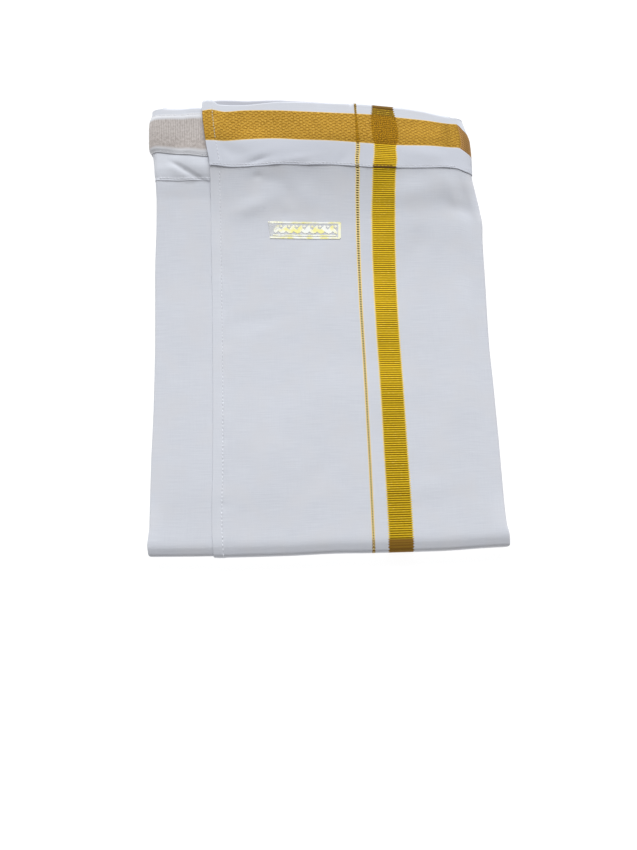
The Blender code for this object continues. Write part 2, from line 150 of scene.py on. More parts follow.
# The waistbands' lower and top edges, and how far the front one's outer ply stops
# below the facing that stands up behind it.
frontBand = guide("x seam top step", [
    (-89.2, 128.4, 178.9, 0.0),
    (-88.4, 128.4, 180.7, 0.0),
    (-86.8, 128.3, 182.4, 0.0),
    (-84, 128.1, 182.7, 0.0),
    (-81, 127.8, 182.5, 0.3),
    (-76, 127.2, 182.9, 5.2),
    (-66, 125.9, 182.6, 5.6),
    (-54, 125.9, 181.6, 4.9),
    (-42, 126.4, 181.5, 3.9),
    (-31, 127.0, 181.2, 3.0),
    (-22, 126.6, 180.4, 2.6),
    (-8, 125.9, 179.3, 2.1),
    (8, 125.4, 177.5, 1.5),
    (23, 123.9, 176.4, 0.0),
    (35, 122.6, 175.6, 0.0),
    (40, 122.4, 174.4, 0.0),
    (55, 121.6, 172.6, 0.0),
    (62, 121.4, 171.8, 0.0),
    (77, 121.0, 168.7, 0.0),
    (90, 120.8, 164.6, 0.0),
    (98, 120.4, 162.9, 0.0),
    (106, 117.5, 162.6, 0.0),
    (112, 116.7, 161.9, 0.0),
])
underBand = guide("x seam top", [
    (-130, 120.5, 179.0),
    (-118, 119.2, 179.4),
    (-104, 117.7, 178.7),
    (-96, 117.9, 179.5),
    (-84, 117.5, 179.4),
    (-34, 117.2, 176.4),
    (8, 115.0, 171.5),
    (55, 111.4, 166.4),
    (98, 109.4, 156.2),
])
# The woven stripe's middle and half width, up the cloth, and the ladder line beside it.
stripeGuide = guide("up middle half", [
    (-360, 44.3, 8.5),
    (-10, 44.9, 8.5),
    (8, 45.1, 8.6),
    (37, 44.8, 8.6),
    (65, 44.3, 8.5),
    (98, 43.9, 8.4),
    (125, 43.4, 8.4),
    (155, 42.7, 8.4),
    (186, 42.4, 8.5),
    (217, 42.7, 8.7),
    (249, 43.7, 8.9),
    (270, 44.8, 8.7),
    (283, 45.7, 8.8),
    (288, 46.4, 8.9),
    (293, 46.8, 8.6),
    (299, 46.9, 8.3),
    (303, 47.3, 8.6),
    (309, 47.4, 9.9),
    (318, 47.1, 9.8),
    (325, 46.7, 9.2),
    (331, 46.5, 8.1),
    (337, 46.4, 7.5),
])
ladderGuide = guide("up middle", [
    (-360, 25.8),
    (8, 26.1),
    (44, 26.0),
    (87, 25.6),
    (131, 25.1),
    (177, 24.3),
    (209, 24.2),
    (240, 24.6),
    (265, 25.15),
    (280, 25.8),
    (288, 25.6),
    (299, 26.6),
    (318, 26.4),
    (330, 25.9),
    (337, 25.8),
])
# The woven border's lower and upper edges on the waistband.
borderGuide = guide("x low high", [
    (-89, 148.2, 172.3),
    (-82, 147.6, 173.3),
    (-71, 146.8, 171.1),
    (-57, 147.2, 171.8),
    (-37, 147.5, 171.2),
    (-15, 146.0, 169.7),
    (8, 144.4, 167.9),
    (37, 141.4, 165.7),
    (57, 139.5, 162.9),
    (78, 138.6, 160.0),
    (92, 137.2, 157.3),
    (101, 136.9, 156.7),
    (106, 134.0, 152.0),
    (112, 130.5, 148.0),
])
# Where the top stretch of cloth meets the round of the front fold.
foldGuide = guide("x y", [
    (-130, -152.8),
    (-89, -153.7),
    (-36, -154.0),
    (1, -153.4),
    (25, -153.8),
    (70, -153.9),
    (105, -152.7),
    (120, -152.4),
])
# x, y, angle, length, width, rise: soft folds of the whole body
bodyCreases = [
    (95, 109, -8, 16, 10, 0.9),
    (66, 103.5, 12, 16, 9, 0.7),
    (78, 163, -3, 36, 26, -1.5),
    (99, 90, -21, 12, 5.5, -0.6),
    (-104, 20, 86, 70, 9, 0.35),
    (92, -40, 88, 80, 12, 0.4),
    (-30, -60, 12, 60, 26, 0.35),
    (-28, 89, -48, 15, 6, -0.25),
    (-52, 95, 10, 16, 7, 0.4),
    (-62, -104, 4, 75, 34, 0.5),
    (70, 88, 0, 28, 22, 1.2),
]
# of the front leaf with its waistband alone
frontCreases = [
    (-15, 111, 62, 16, 10, -0.6),
    (-34, 135.6, 4, 26, 11, 0.6),
    (-78, 149.5, 80, 22, 7, 0.5),
    (20, 147.5, -6, 40, 14, 0.4),
]
# The slanting fold in the under leaf's waistband: a broad ridge, a sharp valley above it
# and a long swell beyond the valley.
slantFold = {
    "middle": (-101.4, 127.0), "angle": -33.0, "reach": (12.0, 18.5),
    "ridge": 0.9, "ridgeAt": -4.0, "ridgeWidth": (4.5, 2.6), "ridgeReach": 12.0,
    "step": 0.9, "stepRise": 0.45, "swell": 1.7, "swellRise": 6.0, "swellReach": 21.0,
}
# the finer ones that handling left in the front leaf
handlingCreases = [
    (-8, 79, 1, 46, 13, -0.6),
    (-47.9, 119, 12, 3.5, 2.4, -0.6),
    (-42, 116, 4, 12, 5, -0.4),
    (-24, 102, -58, 20, 7, -0.45),
    (-50, 98, 24, 18, 6, 0.45),
    (-20, 90, 4, 14, 4, -0.12),
    (-1, 104, 86, 16, 6, -0.45),
    (74, 90, -6, 30, 10, -0.4),
    (-36, 42, 30, 18, 12, 0.3),
    (-18, 57, 60, 20, 8, -0.25),
    (-46, 9, 8, 20, 6, -0.25),
    (66, 60, 75, 22, 7, -0.4),
    (104, 116, 30, 8, 4, -0.4),
    (107.5, -35, 88.5, 62, 4.0, -0.4),
    (-12, -107, 55, 18, 7, -0.3),
    (-41, -88, 62, 22, 9, 0.25),
    (60, -118, 8, 30, 8, 0.25),
]
bandCreases = [
    (-52, 145, 0, 20, 11, 0.7),
    (-47.5, 130.8, 17, 8, 1.8, -0.45),
    (-50, 135.4, 16, 13, 3, 0.2),
    (-62, 136.6, -35, 9, 5, -0.3),
    (-70, 139.6, -50, 8, 4, -0.3),
    (-20, 131.1, 8, 14, 3, 0.3),
    (14, 128.6, 60, 5, 3, -0.3),
    (80, 131.6, -8, 20, 5, 0.3),
]


def smooth(low, high, at):
    share = np.clip((at - low) / (high - low), 0, 1)
    return share * share * (3 - 2 * share)


def bell(away, width):
    return np.exp(-((away / width) ** 2))


def creased(creases, x, y):
    height = 0.0
    for cx, cy, angle, length, width, rise in creases:
        turn = math.radians(angle)
        along = (x - cx) * math.cos(turn) + (y - cy) * math.sin(turn)
        aside = (y - cy) * math.cos(turn) - (x - cx) * math.sin(turn)
        height = height + rise * np.exp(-((along / length) ** 2) - (aside / width) ** 2)
    return height


def crumple(x, y, size, seed):
    # smooth hills and dips from -1 to 1, about size mm apart, the same on each run
    dice = np.random.default_rng(seed).uniform(-1, 1, (64, 64))
    x, y = np.broadcast_arrays(x / size + 400.0, y / size + 400.0)
    column, row = np.floor(x).astype(int), np.floor(y).astype(int)
    a, b = x - column, y - row
    a, b = a * a * (3 - 2 * a), b * b * (3 - 2 * b)
    low = dice[row % 64, column % 64] * (1 - a) + dice[row % 64, (column + 1) % 64] * a
    high = dice[(row + 1) % 64, column % 64] * (1 - a) + dice[(row + 1) % 64, (column + 1) % 64] * a
    return low * (1 - b) + high * b


def levelScale(x):
    return (frontBand["seam"](x) - foldGuide["y"](x)) / seamUp


def levelAt(x, y):
    return (y - foldGuide["y"](x)) / levelScale(x)


def rowY(band, x, up):
    # rows lie over each other below liftFrom and follow their own waistband above it
    start = foldGuide["y"](x)
    parting = start + stack["liftFrom"] * levelScale(x)
    seam = band["seam"](x)
    top = band["top"](x)
    climb = (up - stack["liftFrom"]) / (seamUp - stack["liftFrom"])
    above = (up - seamUp) / (topUp - seamUp)
    low = up <= stack["liftFrom"]
    y = np.where(low, start + up * levelScale(x), parting + (seam - parting) * climb)
    return np.where(up > seamUp, seam + (top - seam) * above, y)


def bodyRise(x, y):
    level = levelAt(x, y)
    share = np.clip(level / topUp, 0, 1)
    full = stack["puff"] * np.sin(math.pi * share**0.9)
    left = 1 - smooth(0, stack["rollWidth"], x - leftGuide["crease"](level))
    right = 1 - smooth(0, stack["rollWidth"], frontGuide["crease"](level) - x)
    bumps = creased(bodyCreases, x, y)
    climb = np.clip((level - stack["swellFrom"]) / (seamUp - stack["swellFrom"]), 0, 1)
    swell = stack["swell"] * climb ** stack["swellPower"]
    return swell + smooth(0, 40, level) * (full - stack["edgeRoll"] * (left + right) + bumps)


def lifted(up):
    # the climb over the under waistband is steepest just below the seam
    climb = np.clip((up - stack["liftFrom"]) / (stack["liftTo"] - stack["liftFrom"]), 0, 1)
    return 2 * ply * climb**1.7


foldForm = {
    "squareTop": 8.0, "squareFoot": 2.4,  # 2 is round, and more is squarer
    "droop": 2.3, "droopAt": -7.5, "droopReach": 5.6,
}


def foldDroop(up):
    # the top leans over towards the front fold
    before = np.maximum(0, up - foldForm["droopAt"])
    return foldForm["droop"] * bell(before, foldForm["droopReach"])


def wrap(x, yTop, rise, up, depth):
    # depth below the stack's skin: on top, round the front fold, on the table, round
    # the back fold and back inside
    up = up + 0 * x
    front = foldGuide["y"](x)
    half = stack["height"] / 2
    y = yTop + 0 * x
    z = stack["height"] + rise - depth
    angle = math.pi * (0.5 + np.clip(up, -frontTurn, 0) / frontTurn)
    turning = (up < 0) & (up > -frontTurn)
    power = np.where(angle > 0, foldForm["squareTop"], foldForm["squareFoot"])
    across, upright = np.maximum(np.cos(angle), 0), np.sin(angle)
    radius = (half - depth) * (across**power + np.abs(upright) ** power) ** (-1 / power)
    y = np.where(turning, front - radius * across, y)
    z = np.where(turning, half + radius * upright, z) - foldDroop(up) * np.clip(1.6 * upright, 0, 1)
    back = underBand["top"](x) - stack["backSetback"]
    flat = (up <= -frontTurn) & (up >= tableEnd)
    y = np.where(flat, front + (back - front) * (up + frontTurn) / (tableEnd + frontTurn), y)
    z = np.where(flat, depth, z)
    beyond = tableEnd - up
    backHalf = stack["backHeight"] / 2
    angle = math.pi * (np.clip(beyond, 0, backTurn) / backTurn - 0.5)
    round_ = (beyond > 0) & (beyond < backTurn)
    y = np.where(round_, back + (backHalf - depth) * np.cos(angle), y)
    z = np.where(round_, backHalf + (backHalf - depth) * np.sin(angle), z)
    inside = beyond >= backTurn
    y = np.where(inside, back - (beyond - backTurn), y)
    z = np.where(inside, stack["backHeight"] - depth, z)
    return y, z


def curl(angle, reach, drop, out):
    turn = np.radians(angle)
    return (reach + out) * np.sin(turn), drop * (1 - np.cos(turn)) - out * np.cos(turn)


def sideTurn(angle, up):
    return angle * (1 - 0.4 * smooth(0, 20, tableEnd + 20 - up))


def turnedIn(up, topAngle, fromCrease):
    kept = smooth(0, stack["openingWidth"], fromCrease)
    return up + (1 - kept) * stack["opening"] * topAngle / 90, topAngle * kept


def frontFlatX(share, up):
    free = frontGuide["free"](up)
    return free + (frontGuide["crease"](up) - free) * share


def frontPoint(share, sideAngle, up, topAngle, out):
    # a point out beyond the front leaf's inner face; share runs from the free edge to
    # the right crease, past which the leaf turns down by sideAngle
    flatX = frontFlatX(share, up)
    reach = frontGuide["reach"](up)
    drop = frontGuide["drop"](up)
    sideX, sideDown = curl(sideTurn(sideAngle, up), reach, drop, out)
    rowUp, topAngle = turnedIn(up, topAngle, frontGuide["crease"](up) - flatX)
    topY, topDown = curl(topAngle, stack["turnIn"], stack["turnIn"], out)
    x = flatX + sideX
    depth = wall + sideDown + topDown + out
    y = rowY(frontBand, x, np.minimum(rowUp, topUp))
    rise = bodyRise(flatX, y) + lifted(rowUp)
    folds = creased(frontCreases, flatX, y)
    rise = rise + smooth(stack["liftFrom"], stack["liftTo"], rowUp) * folds
    y, z = wrap(x, y + topY, rise, rowUp, depth)
    return x, y, z


def innerRight(level):
    kept = frontGuide["crease"](level) - stack["rightClearance"]
    limit = stack["innerLimit"] + stack["innerSpread"] * np.maximum(0, seamUp - level)
    return np.minimum(kept, limit)


def slanted(x, y):
    fold = slantFold
    turn = math.radians(fold["angle"])
    across, along = x - fold["middle"][0], y - fold["middle"][1]
    along, across = (
        across * math.cos(turn) + along * math.sin(turn),
        along * math.cos(turn) - across * math.sin(turn),
    )
    fromRidge = across - fold["ridgeAt"]
    width = np.where(fromRidge < 0, *fold["ridgeWidth"])
    beyond = np.maximum(across, 0)
    step = fold["step"] * (1 - np.exp(-beyond / fold["stepRise"]))
    swell = fold["swell"] * (1 - np.exp(-beyond / fold["swellRise"]))
    height = fold["ridge"] * bell(fromRidge, width)
    height = height * bell(np.maximum(along, 0), fold["ridgeReach"])
    height = height + (step + swell) * bell(beyond, fold["swellReach"])
    reach = np.where(along < 0, *fold["reach"])
    return height * np.exp(-((along / reach) ** 4))


def underPoint(share, sideAngle, up, topAngle, out):
    # a point out beyond the under leaf's inner face; share runs from the left crease,
    # past which the leaf turns down by sideAngle, to its right end
    level = up + 0 * share
    for _ in range(2):
        crease = leftGuide["crease"](level)
        flatX = crease + (innerRight(level) - crease) * share
        level = np.where(up > 0, levelAt(flatX, rowY(underBand, flatX, up)), up)
    sideX, sideDown = curl(
        sideTurn(sideAngle, up), leftGuide["reach"](level), leftGuide["drop"](level), out
    )
    rowUp, topAngle = turnedIn(up, topAngle, flatX - crease)
    topY, topDown = curl(topAngle, stack["turnIn"], stack["turnIn"], out)
    x = flatX - sideX
    depth = wall + ply + sideDown + topDown + out
    y = rowY(underBand, x, np.minimum(rowUp, topUp))
    rise = bodyRise(flatX, y)
    onBand = smooth(wall + 0.4, wall + 0.8, out) * smooth(280, 284, up)
    rise = rise + onBand * slanted(flatX, y)
    beside = smooth(0, stack["sideSag"], frontGuide["free"](up) - stack["sideClear"] - x)
    settled = ply * beside * smooth(frontTurn * 0.6, frontTurn, -up)
    y, z = wrap(x, y + topY, rise, rowUp, depth)
    return x, y, z - settled


def placed(name, data):
    item = bpy.data.objects.new(name, data)
    bpy.context.scene.collection.objects.link(item)
    return item


def newPiece(name, points, faces, material, weave=None):
    # points in mm as the tables count them; weave gives each point's place in the cloth
    mesh = bpy.data.meshes.new(name)
    points = (points + (*stack["middle"], 0.0)) * mm
    mesh.from_pydata(points.tolist(), [], faces)
    for layerName, places in (weave or {}).items():
        layer = mesh.uv_layers.new(name=layerName)
        corner = np.empty(len(mesh.loops), int)
        mesh.loops.foreach_get("vertex_index", corner)
        layer.data.foreach_set("uv", (places[corner] * mm).astype(np.float32).reshape(-1))
    mesh.shade_smooth()
    mesh.materials.append(material)
    piece = placed(name, mesh)
    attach(piece, "root")
    print("made", name, "with", len(faces), "faces")
    return piece


def sheetPiece(name, layers, weave, material):
    # a closed sheet: the outermost and innermost grids, and a rim through any between
    rows, columns = np.broadcast(*layers[0]).shape
    count = rows * columns
    grids = [np.stack([np.broadcast_to(c, (rows, columns)) for c in g], -1) for g in layers]
    index = np.arange(count).reshape(rows, columns)
    quads = np.stack([index[:-1, :-1], index[1:, :-1], index[1:, 1:], index[:-1, 1:]], -1)
    quads = quads.reshape(-1, 4)
    rim = np.concatenate([index[:, 0], index[-1, 1:], index[-2::-1, -1], index[0, -2::-1]])
    last = (len(grids) - 1) * count
    faces = [quads, quads[:, ::-1] + last]
    for level in range(len(grids) - 1):
        a, b = rim + level * count, rim + (level + 1) * count
        faces.append(np.stack([a[1:], a[:-1], b[:-1], b[1:]], -1))
    faces = np.concatenate(faces)
    points = np.concatenate([g.reshape(count, 3) for g in grids])
    used, faces = np.unique(faces, return_inverse=True)
    faces = faces.reshape(-1, 4)
    points = points[used]
    a, b, c, d = (points[faces[:, n]] for n in range(4))
    if (np.cross(c - a, d - b) * (a + b + c + d)).sum() < 0:
        faces = faces[:, ::-1]
    places = {}
    for layerName, ways in weave.items():
        flat = np.stack([np.broadcast_to(way, (rows, columns)).ravel() for way in ways], -1)
        places[layerName] = np.tile(flat, (len(grids), 1))[used]
    return newPiece(name, points, faces.tolist(), material, places)


def threadPiece(name, centres, normals, thick, material, sides=6):
    # thread along each row of centres, flattened on the cloth by its normal
    along = centres[:, -1] - centres[:, 0]
    side = np.cross(normals, along)
    side /= np.linalg.norm(side, axis=1, keepdims=True)
    turns = np.radians(np.arange(sides) * 360 / sides)
    ring = (
        np.cos(turns)[None, None, :, None] * side[:, None, None]
        + np.sin(turns)[None, None, :, None] * normals[:, None, None]
    )
    count, stations = centres.shape[:2]
    width = np.ones(stations)
    width[[0, -1]] = 0.6
    points = centres[:, :, None] + ring * (thick / 2 * width)[None, :, None, None]
    block = np.arange(stations * sides).reshape(stations, sides)
    nextSide = np.roll(block, -1, axis=1)
    walls = np.stack([block[:-1], nextSide[:-1], nextSide[1:], block[1:]], -1).reshape(-1, 4)
    faces = []
    for n in range(count):
        base = n * stations * sides
        faces += (walls + base).tolist()
        faces.append((block[0, ::-1] + base).tolist())
        faces.append((block[-1] + base).tolist())
    return newPiece(name, points.reshape(-1, 3), faces, material)


def stitchRow(name, at, start, end, look, material):
    # at(t, aside) is the cloth t mm along a seam and aside mm to its left
    begin = np.arange(start, end - look["length"], look["pitch"])
    shift = np.random.default_rng(len(name)).uniform(-0.12, 0.12, (2, len(begin)))
    begin = begin + shift[0]
    stations = np.array([0, 0.1, 0.3, 0.7, 0.9, 1.0])
    humps = np.array([-0.5, 0.15, 0.45, 0.45, 0.15, -0.5]) * look["thick"]
    t = begin[:, None] + stations[None, :] * look["length"]
    aside = shift[1][:, None] + 0 * t
    centres = np.stack(np.broadcast_arrays(*at(t, aside)), -1)
    beside = np.stack(np.broadcast_arrays(*at(t[:, :1], aside[:, :1] + 0.5)), -1)[:, 0]
    normals = np.cross(centres[:, -1] - centres[:, 0], beside - centres[:, 0])
    normals /= np.linalg.norm(normals, axis=1, keepdims=True)
    centres = centres + humps[None, :, None] * normals[:, None]
    return threadPiece(name, centres, normals, look["thick"], material)


def colour(hexValue):
    channels = [int(hexValue[n : n + 2], 16) / 255 for n in (1, 3, 5)]
    return (*[c / 12.92 if c <= 0.04045 else ((c + 0.055) / 1.055) ** 2.4 for c in channels], 1.0)


# The short names of nodes: each one's type, its settings, and the inputs that its values
# go to in turn. A name in capitals, which isn't here, is an operation of the Math node.
nodeKinds = {
    "blend": ("ShaderNodeMix", {"data_type": "RGBA"}, (0, 6, 7)),
    "spread": ("ShaderNodeMapRange", {}, range(5)),
    "noise": ("ShaderNodeTexNoise", {}, ("Vector", "Scale", "Detail")),
    "dice": ("ShaderNodeTexWhiteNoise", {"noise_dimensions": "1D"}, ["W"]),
    "stretch": ("ShaderNodeMapping", {}, ("Vector", "Scale")),
    "magnify": ("ShaderNodeVectorMath", {"operation": "SCALE"}, (0, "Scale")),
    "split": ("ShaderNodeSeparateXYZ", {}, [0]),
    "layer": ("ShaderNodeUVMap", {}, []),
    "position": ("ShaderNodeTexCoord", {}, []),
    "bump": ("ShaderNodeBump", {}, ("Height", "Strength", "Distance")),
    "surface": ("ShaderNodeBsdfPrincipled", {}, ("Base Color", "Roughness", "Normal")),
    "output": ("ShaderNodeOutputMaterial", {}, ["Surface"]),
}


def addNode(tree, kind, *values, inputs=None, **settings):
    # a node or socket given as a value is linked, and anything else is set on the socket
    name, fixed, places = nodeKinds.get(kind, ("ShaderNodeMath", {"operation": kind}, range(3)))
    node = tree.nodes.new(name)
    for key, value in {**fixed, **settings}.items():
        setattr(node, key, value)
    for key, value in {**dict(zip(places, values)), **(inputs or {})}.items():
        if isinstance(value, str):
            value = colour(value)
        if isinstance(value, bpy.types.Node):
            value = next(output for output in value.outputs if output.enabled)
        if isinstance(value, bpy.types.NodeSocket):
            tree.links.new(value, node.inputs[key])
        else:
            node.inputs[key].default_value = value
    return node


def newMaterial(name):
    # an empty material, and what adds nodes to it
    material = bpy.data.materials.new(name)
    material.use_nodes = True
    material.node_tree.nodes.clear()
    return material, partial(addNode, material.node_tree)


# Bleached cotton: a plain weave of fine yarn. It is matt and a cool white, with slubs
# that run both ways and a faint warmth in patches.
cottonLook = {
    "light": "#D6D8DD",
    "dark": "#CCCED4",
    "warm": "#D3D3D6",
    "single": "#BABBC2",  # one ply with nothing under it looks greyer, and the tint is partly painted shade of the facing where it stands up behind the front ply
    "doubled": 0.3,  # how much paler two plies are than one
    "threadPitch": 0.45,  # the yarns lie 0.3 mm apart and are drawn coarser, to show
    "slubWidth": 0.7,
    "slubLength": 16.0,
    "upright": 0.4,  # how much the slubs of the warp show beside those of the weft
    "cloud": 22.0,
    "roughness": 0.9,
}
# Zari: gilt thread woven in as ribs, glossy, with brown between the floats.
zariLook = {
    "bright": "#E5BF26",
    "deep": "#684D06",
    "paintedSpark": "#F6DB74",
    "edge": "#F0DE98",
    "stripeHalf": 8.7,
    "ribPitch": 1.66,
    "tooth": 0.45,
    "bundles": (0.02, 0.16, 1),  # 1 / mm across and up the cloth
    "dashes": (0.55, 1.3, 1),
    "shading": (0.62, 0.12, 0.35, 0.55),  # by rib, by each rib's own height, bundles, dashes
    "ladder": -18.3,  # the ladder line's middle
    "ladderHalf": (0.95, 1.4, 0.8),  # at the front fold, near the waist and above the border
    "ladderPitch": 1.9,
    "ladderEdge": "#EBCB70",
    "ladderGround": "#EBDAA0",
    "ladderRung": "#3F2A06",
    "foldShade": "#865E14",  # painted shade: the gilt is painted brown along the front fold
    "seamEdgeShade": "#4E3208",  # and painted dark in the waistband's sewn edge, as shade
    "metallic": 0.55,
    "roughness": 0.55,
    "coat": 0.1,  # how much white light its lacquer throws back
}
borderLook = {
    "ground": "#9A7320",
    "mark": "#67450D",
    "paintedGlint": "#C09A42",
    "rim": "#DDBE72",
    "shadedBandGilt": "#80590C",  # painted shade: the stripe on the band is darkened towards this
    "bandGiltShade": 0.22,
    "below": "#C4C7D0",  # painted shade: the band's plain cloth below the border is tinted this cooler grey
    "foldShadeBrown": "#B4894F",
    "reverseDot": "#66482A",
    "close": "#A5780A",
    "closeDeep": "#4D3202",
    "above": "#5C4212",
    "topEdge": 50.4,  # the waist's top, round which the stripe is painted darkest as shade
    "low": 20.5,
    "high": 45.2,
    "floatWidth": 4.4,
    "floatHeight": 1.45,
    "bend": 1.8,  # how far the floats' ends droop
    "wander": (0.5, 0.8, 1),  # 1 / mm across and up the cloth
    "grain": (0.9, 1.5, 1),
    "reverseFrom": 54.5,
    "reversePitch": 2.6,
}


def placeIn(add, layerName):
    # the place in the cloth, in mm: both ways together, across and up
    place = add("magnify", add("layer", uv_map=layerName), 1 / mm)
    split = add("split", place)
    return place, split.outputs[0], split.outputs[1]


def wovenCotton(name, stripe=False, border=False, doubled=0.0, single=0.0):
    look = cottonLook
    material, add = newMaterial(name)
    place, u, v = placeIn(add, "weave")
    close, long = 1 / look["slubWidth"], 1 / look["slubLength"]
    standing = add("noise", add("stretch", place, (close, long, 1)), 1.0, 3.0)
    lying = add("noise", add("stretch", place, (long, close, 1)), 1.0, 3.0)
    slubs = add("MULTIPLY_ADD", standing, look["upright"], lying)
    turn = math.pi / look["threadPitch"]
    warp, weft = (add("SINE", add("MULTIPLY", way, turn)) for way in (u, v))
    threads = add("MULTIPLY", warp, weft)
    middle = (1 + look["upright"]) / 2
    tone = add("spread", slubs, middle - 0.27, middle + 0.27)
    cotton = add("blend", tone, look["dark"], look["light"])
    cloud = add("noise", place, 1 / look["cloud"], 2.0)
    cloud = add("spread", cloud, 0.45, 0.65, 0.0, 0.6)
    cotton = add("blend", cloud, cotton, look["warm"])
    # the single-ply tint; on the facing it is partly painted shade of the facing standing up behind the
    # front ply
    cotton = add("blend", single, cotton, look["single"])
    if stripe:
        # the hem is double, and stands out as one does
        fromEdge = placeIn(add, "edge")[1]
        hemEnd = (hem["width"] - 0.3, hem["width"] + 0.3)
        doubled = add("spread", fromEdge, *hemEnd, look["doubled"], doubled)
    cotton = add("blend", doubled, cotton, look["light"])
    if border:
        # painted shade: the band's cloth below its border is greyed towards borderLook below, fading
        # out at the border
        shaded = add("spread", v, borderLook["low"] - 2, borderLook["low"], 0.5, 0.0)
        cotton = add("blend", shaded, cotton, borderLook["below"])
    height = add("MULTIPLY_ADD", slubs, 0.6, threads)
    metal, gloss, shine = 0.0, look["roughness"], 0.5
    if stripe:
        cotton, metal, relief = zariStripe(add, place, u, v, cotton, border)
        if border:
            cotton, metal, relief = zariBorder(add, place, u, v, cotton, metal, relief)
        gloss = add("spread", metal, 0.0, 1.0, look["roughness"], zariLook["roughness"])
        shine = add("spread", metal, 0.0, 1.0, 0.5, zariLook["coat"])
        metal = add("MULTIPLY", metal, zariLook["metallic"])
        height = add("MULTIPLY_ADD", relief, 3.0, height)
    bump = add("bump", height, 0.4, 0.05 * mm)
    finish = {"Metallic": metal, "Specular IOR Level": shine}
    add("output", add("surface", cotton, gloss, bump, inputs=finish))
    return material


def zariStripe(add, place, u, v, ground, border):
    look = zariLook
    ribs = add("MULTIPLY", v, 1 / look["ribPitch"])
    wave = add("COSINE", add("MULTIPLY", ribs, 2 * math.pi))
    # some ribs lie proud and bright and others sink, and each is broken into short floats
    lively = add("dice", add("FLOOR", add("ADD", ribs, 0.5)))
    bundles = add("noise", add("stretch", place, look["bundles"]), 1.0, 2.0)
    dashes = add("noise", add("stretch", place, look["dashes"]), 1.0, 3.0)
    shade = 0.0
    for part, weight in zip((wave, lively, bundles, dashes), look["shading"]):
        shade = add("MULTIPLY_ADD", part, weight, shade)
    shade = add("spread", shade, -0.1, 1.1)
    gold = add("blend", shade, look["deep"], look["bright"])
    # painted glints: pale sparks where a rib's dashes stand high
    paintedSpark = add("MULTIPLY_ADD", wave, 0.12, dashes)
    paintedSpark = add("spread", paintedSpark, 0.68, 0.8, 0.0, 0.5)
    gold = add("blend", paintedSpark, gold, look["paintedSpark"])
    # the weft turns back at both edges in small pale loops
    reach = add("MULTIPLY_ADD", wave, look["tooth"], look["stripeHalf"])
    inward = add("SUBTRACT", reach, add("ABSOLUTE", u))
    gilt = add("GREATER_THAN", inward, 0.0)
    loops = add("spread", inward, 0.2, 0.8, 0.7, 0.0)
    gold = add("blend", loops, gold, look["edge"])
    # the ladder line: two thin bright edges with brown rungs between, which a fold
    # above the border draws together
    foldHalf, waistHalf, topHalf = look["ladderHalf"]
    ends = (0.0, stack["liftFrom"] - 4, foldHalf, waistHalf)
    if border:
        ends = (borderLook["low"], borderLook["high"], waistHalf, topHalf)
    half = add("spread", v, *ends)
    inset = add("SUBTRACT", half, add("ABSOLUTE", add("SUBTRACT", u, look["ladder"])))
    line = add("GREATER_THAN", add("MULTIPLY_ADD", wave, 0.12, inset), 0.0)
    edges = add("spread", inset, 0.45, 0.65, 1.0, 0.0)
    between = add("SUBTRACT", 1.0, edges)
    beads = add("spread", wave, -0.9, -0.2, 0.35, 1.0)
    edges = add("MULTIPLY", edges, beads)
    steps = add("COSINE", add("MULTIPLY", v, 2 * math.pi / look["ladderPitch"]))
    rung = add("spread", steps, -0.2, 0.3, 1.0, 0.0)
    if border:
        rung = add("MAXIMUM", rung, add("GREATER_THAN", v, borderLook["low"]))
    rung = add("MULTIPLY", rung, between)
    ladder = add("blend", edges, look["ladderGround"], look["ladderEdge"])
    ladder = add("blend", rung, ladder, look["ladderRung"])
    onLadder = add("MULTIPLY", add("MAXIMUM", edges, rung), line)
    painted = add("blend", line, ground, ladder)
    painted = add("blend", gilt, painted, gold)
    gilt = add("MAXIMUM", gilt, onLadder)
    # painted shade: the gilt is painted brown round the front fold, dark in the band's sewn edge, and
    # less metallic there
    shadedTo = 0.9 if border else 1.5
    above = add("spread", v, shadedTo, shadedTo + 0.8, 0.9, 0.0)
    below = add("spread", v, -frontTurn, 4 - frontTurn)
    wearAndShade = add("MULTIPLY", add("MULTIPLY", above, below), gilt)
    painted = add("blend", wearAndShade, painted, look["seamEdgeShade" if border else "foldShade"])
    metal = add("MAXIMUM", add("MULTIPLY_ADD", wearAndShade, -0.75, gilt), 0.0)
    return painted, metal, add("MULTIPLY", shade, gilt)


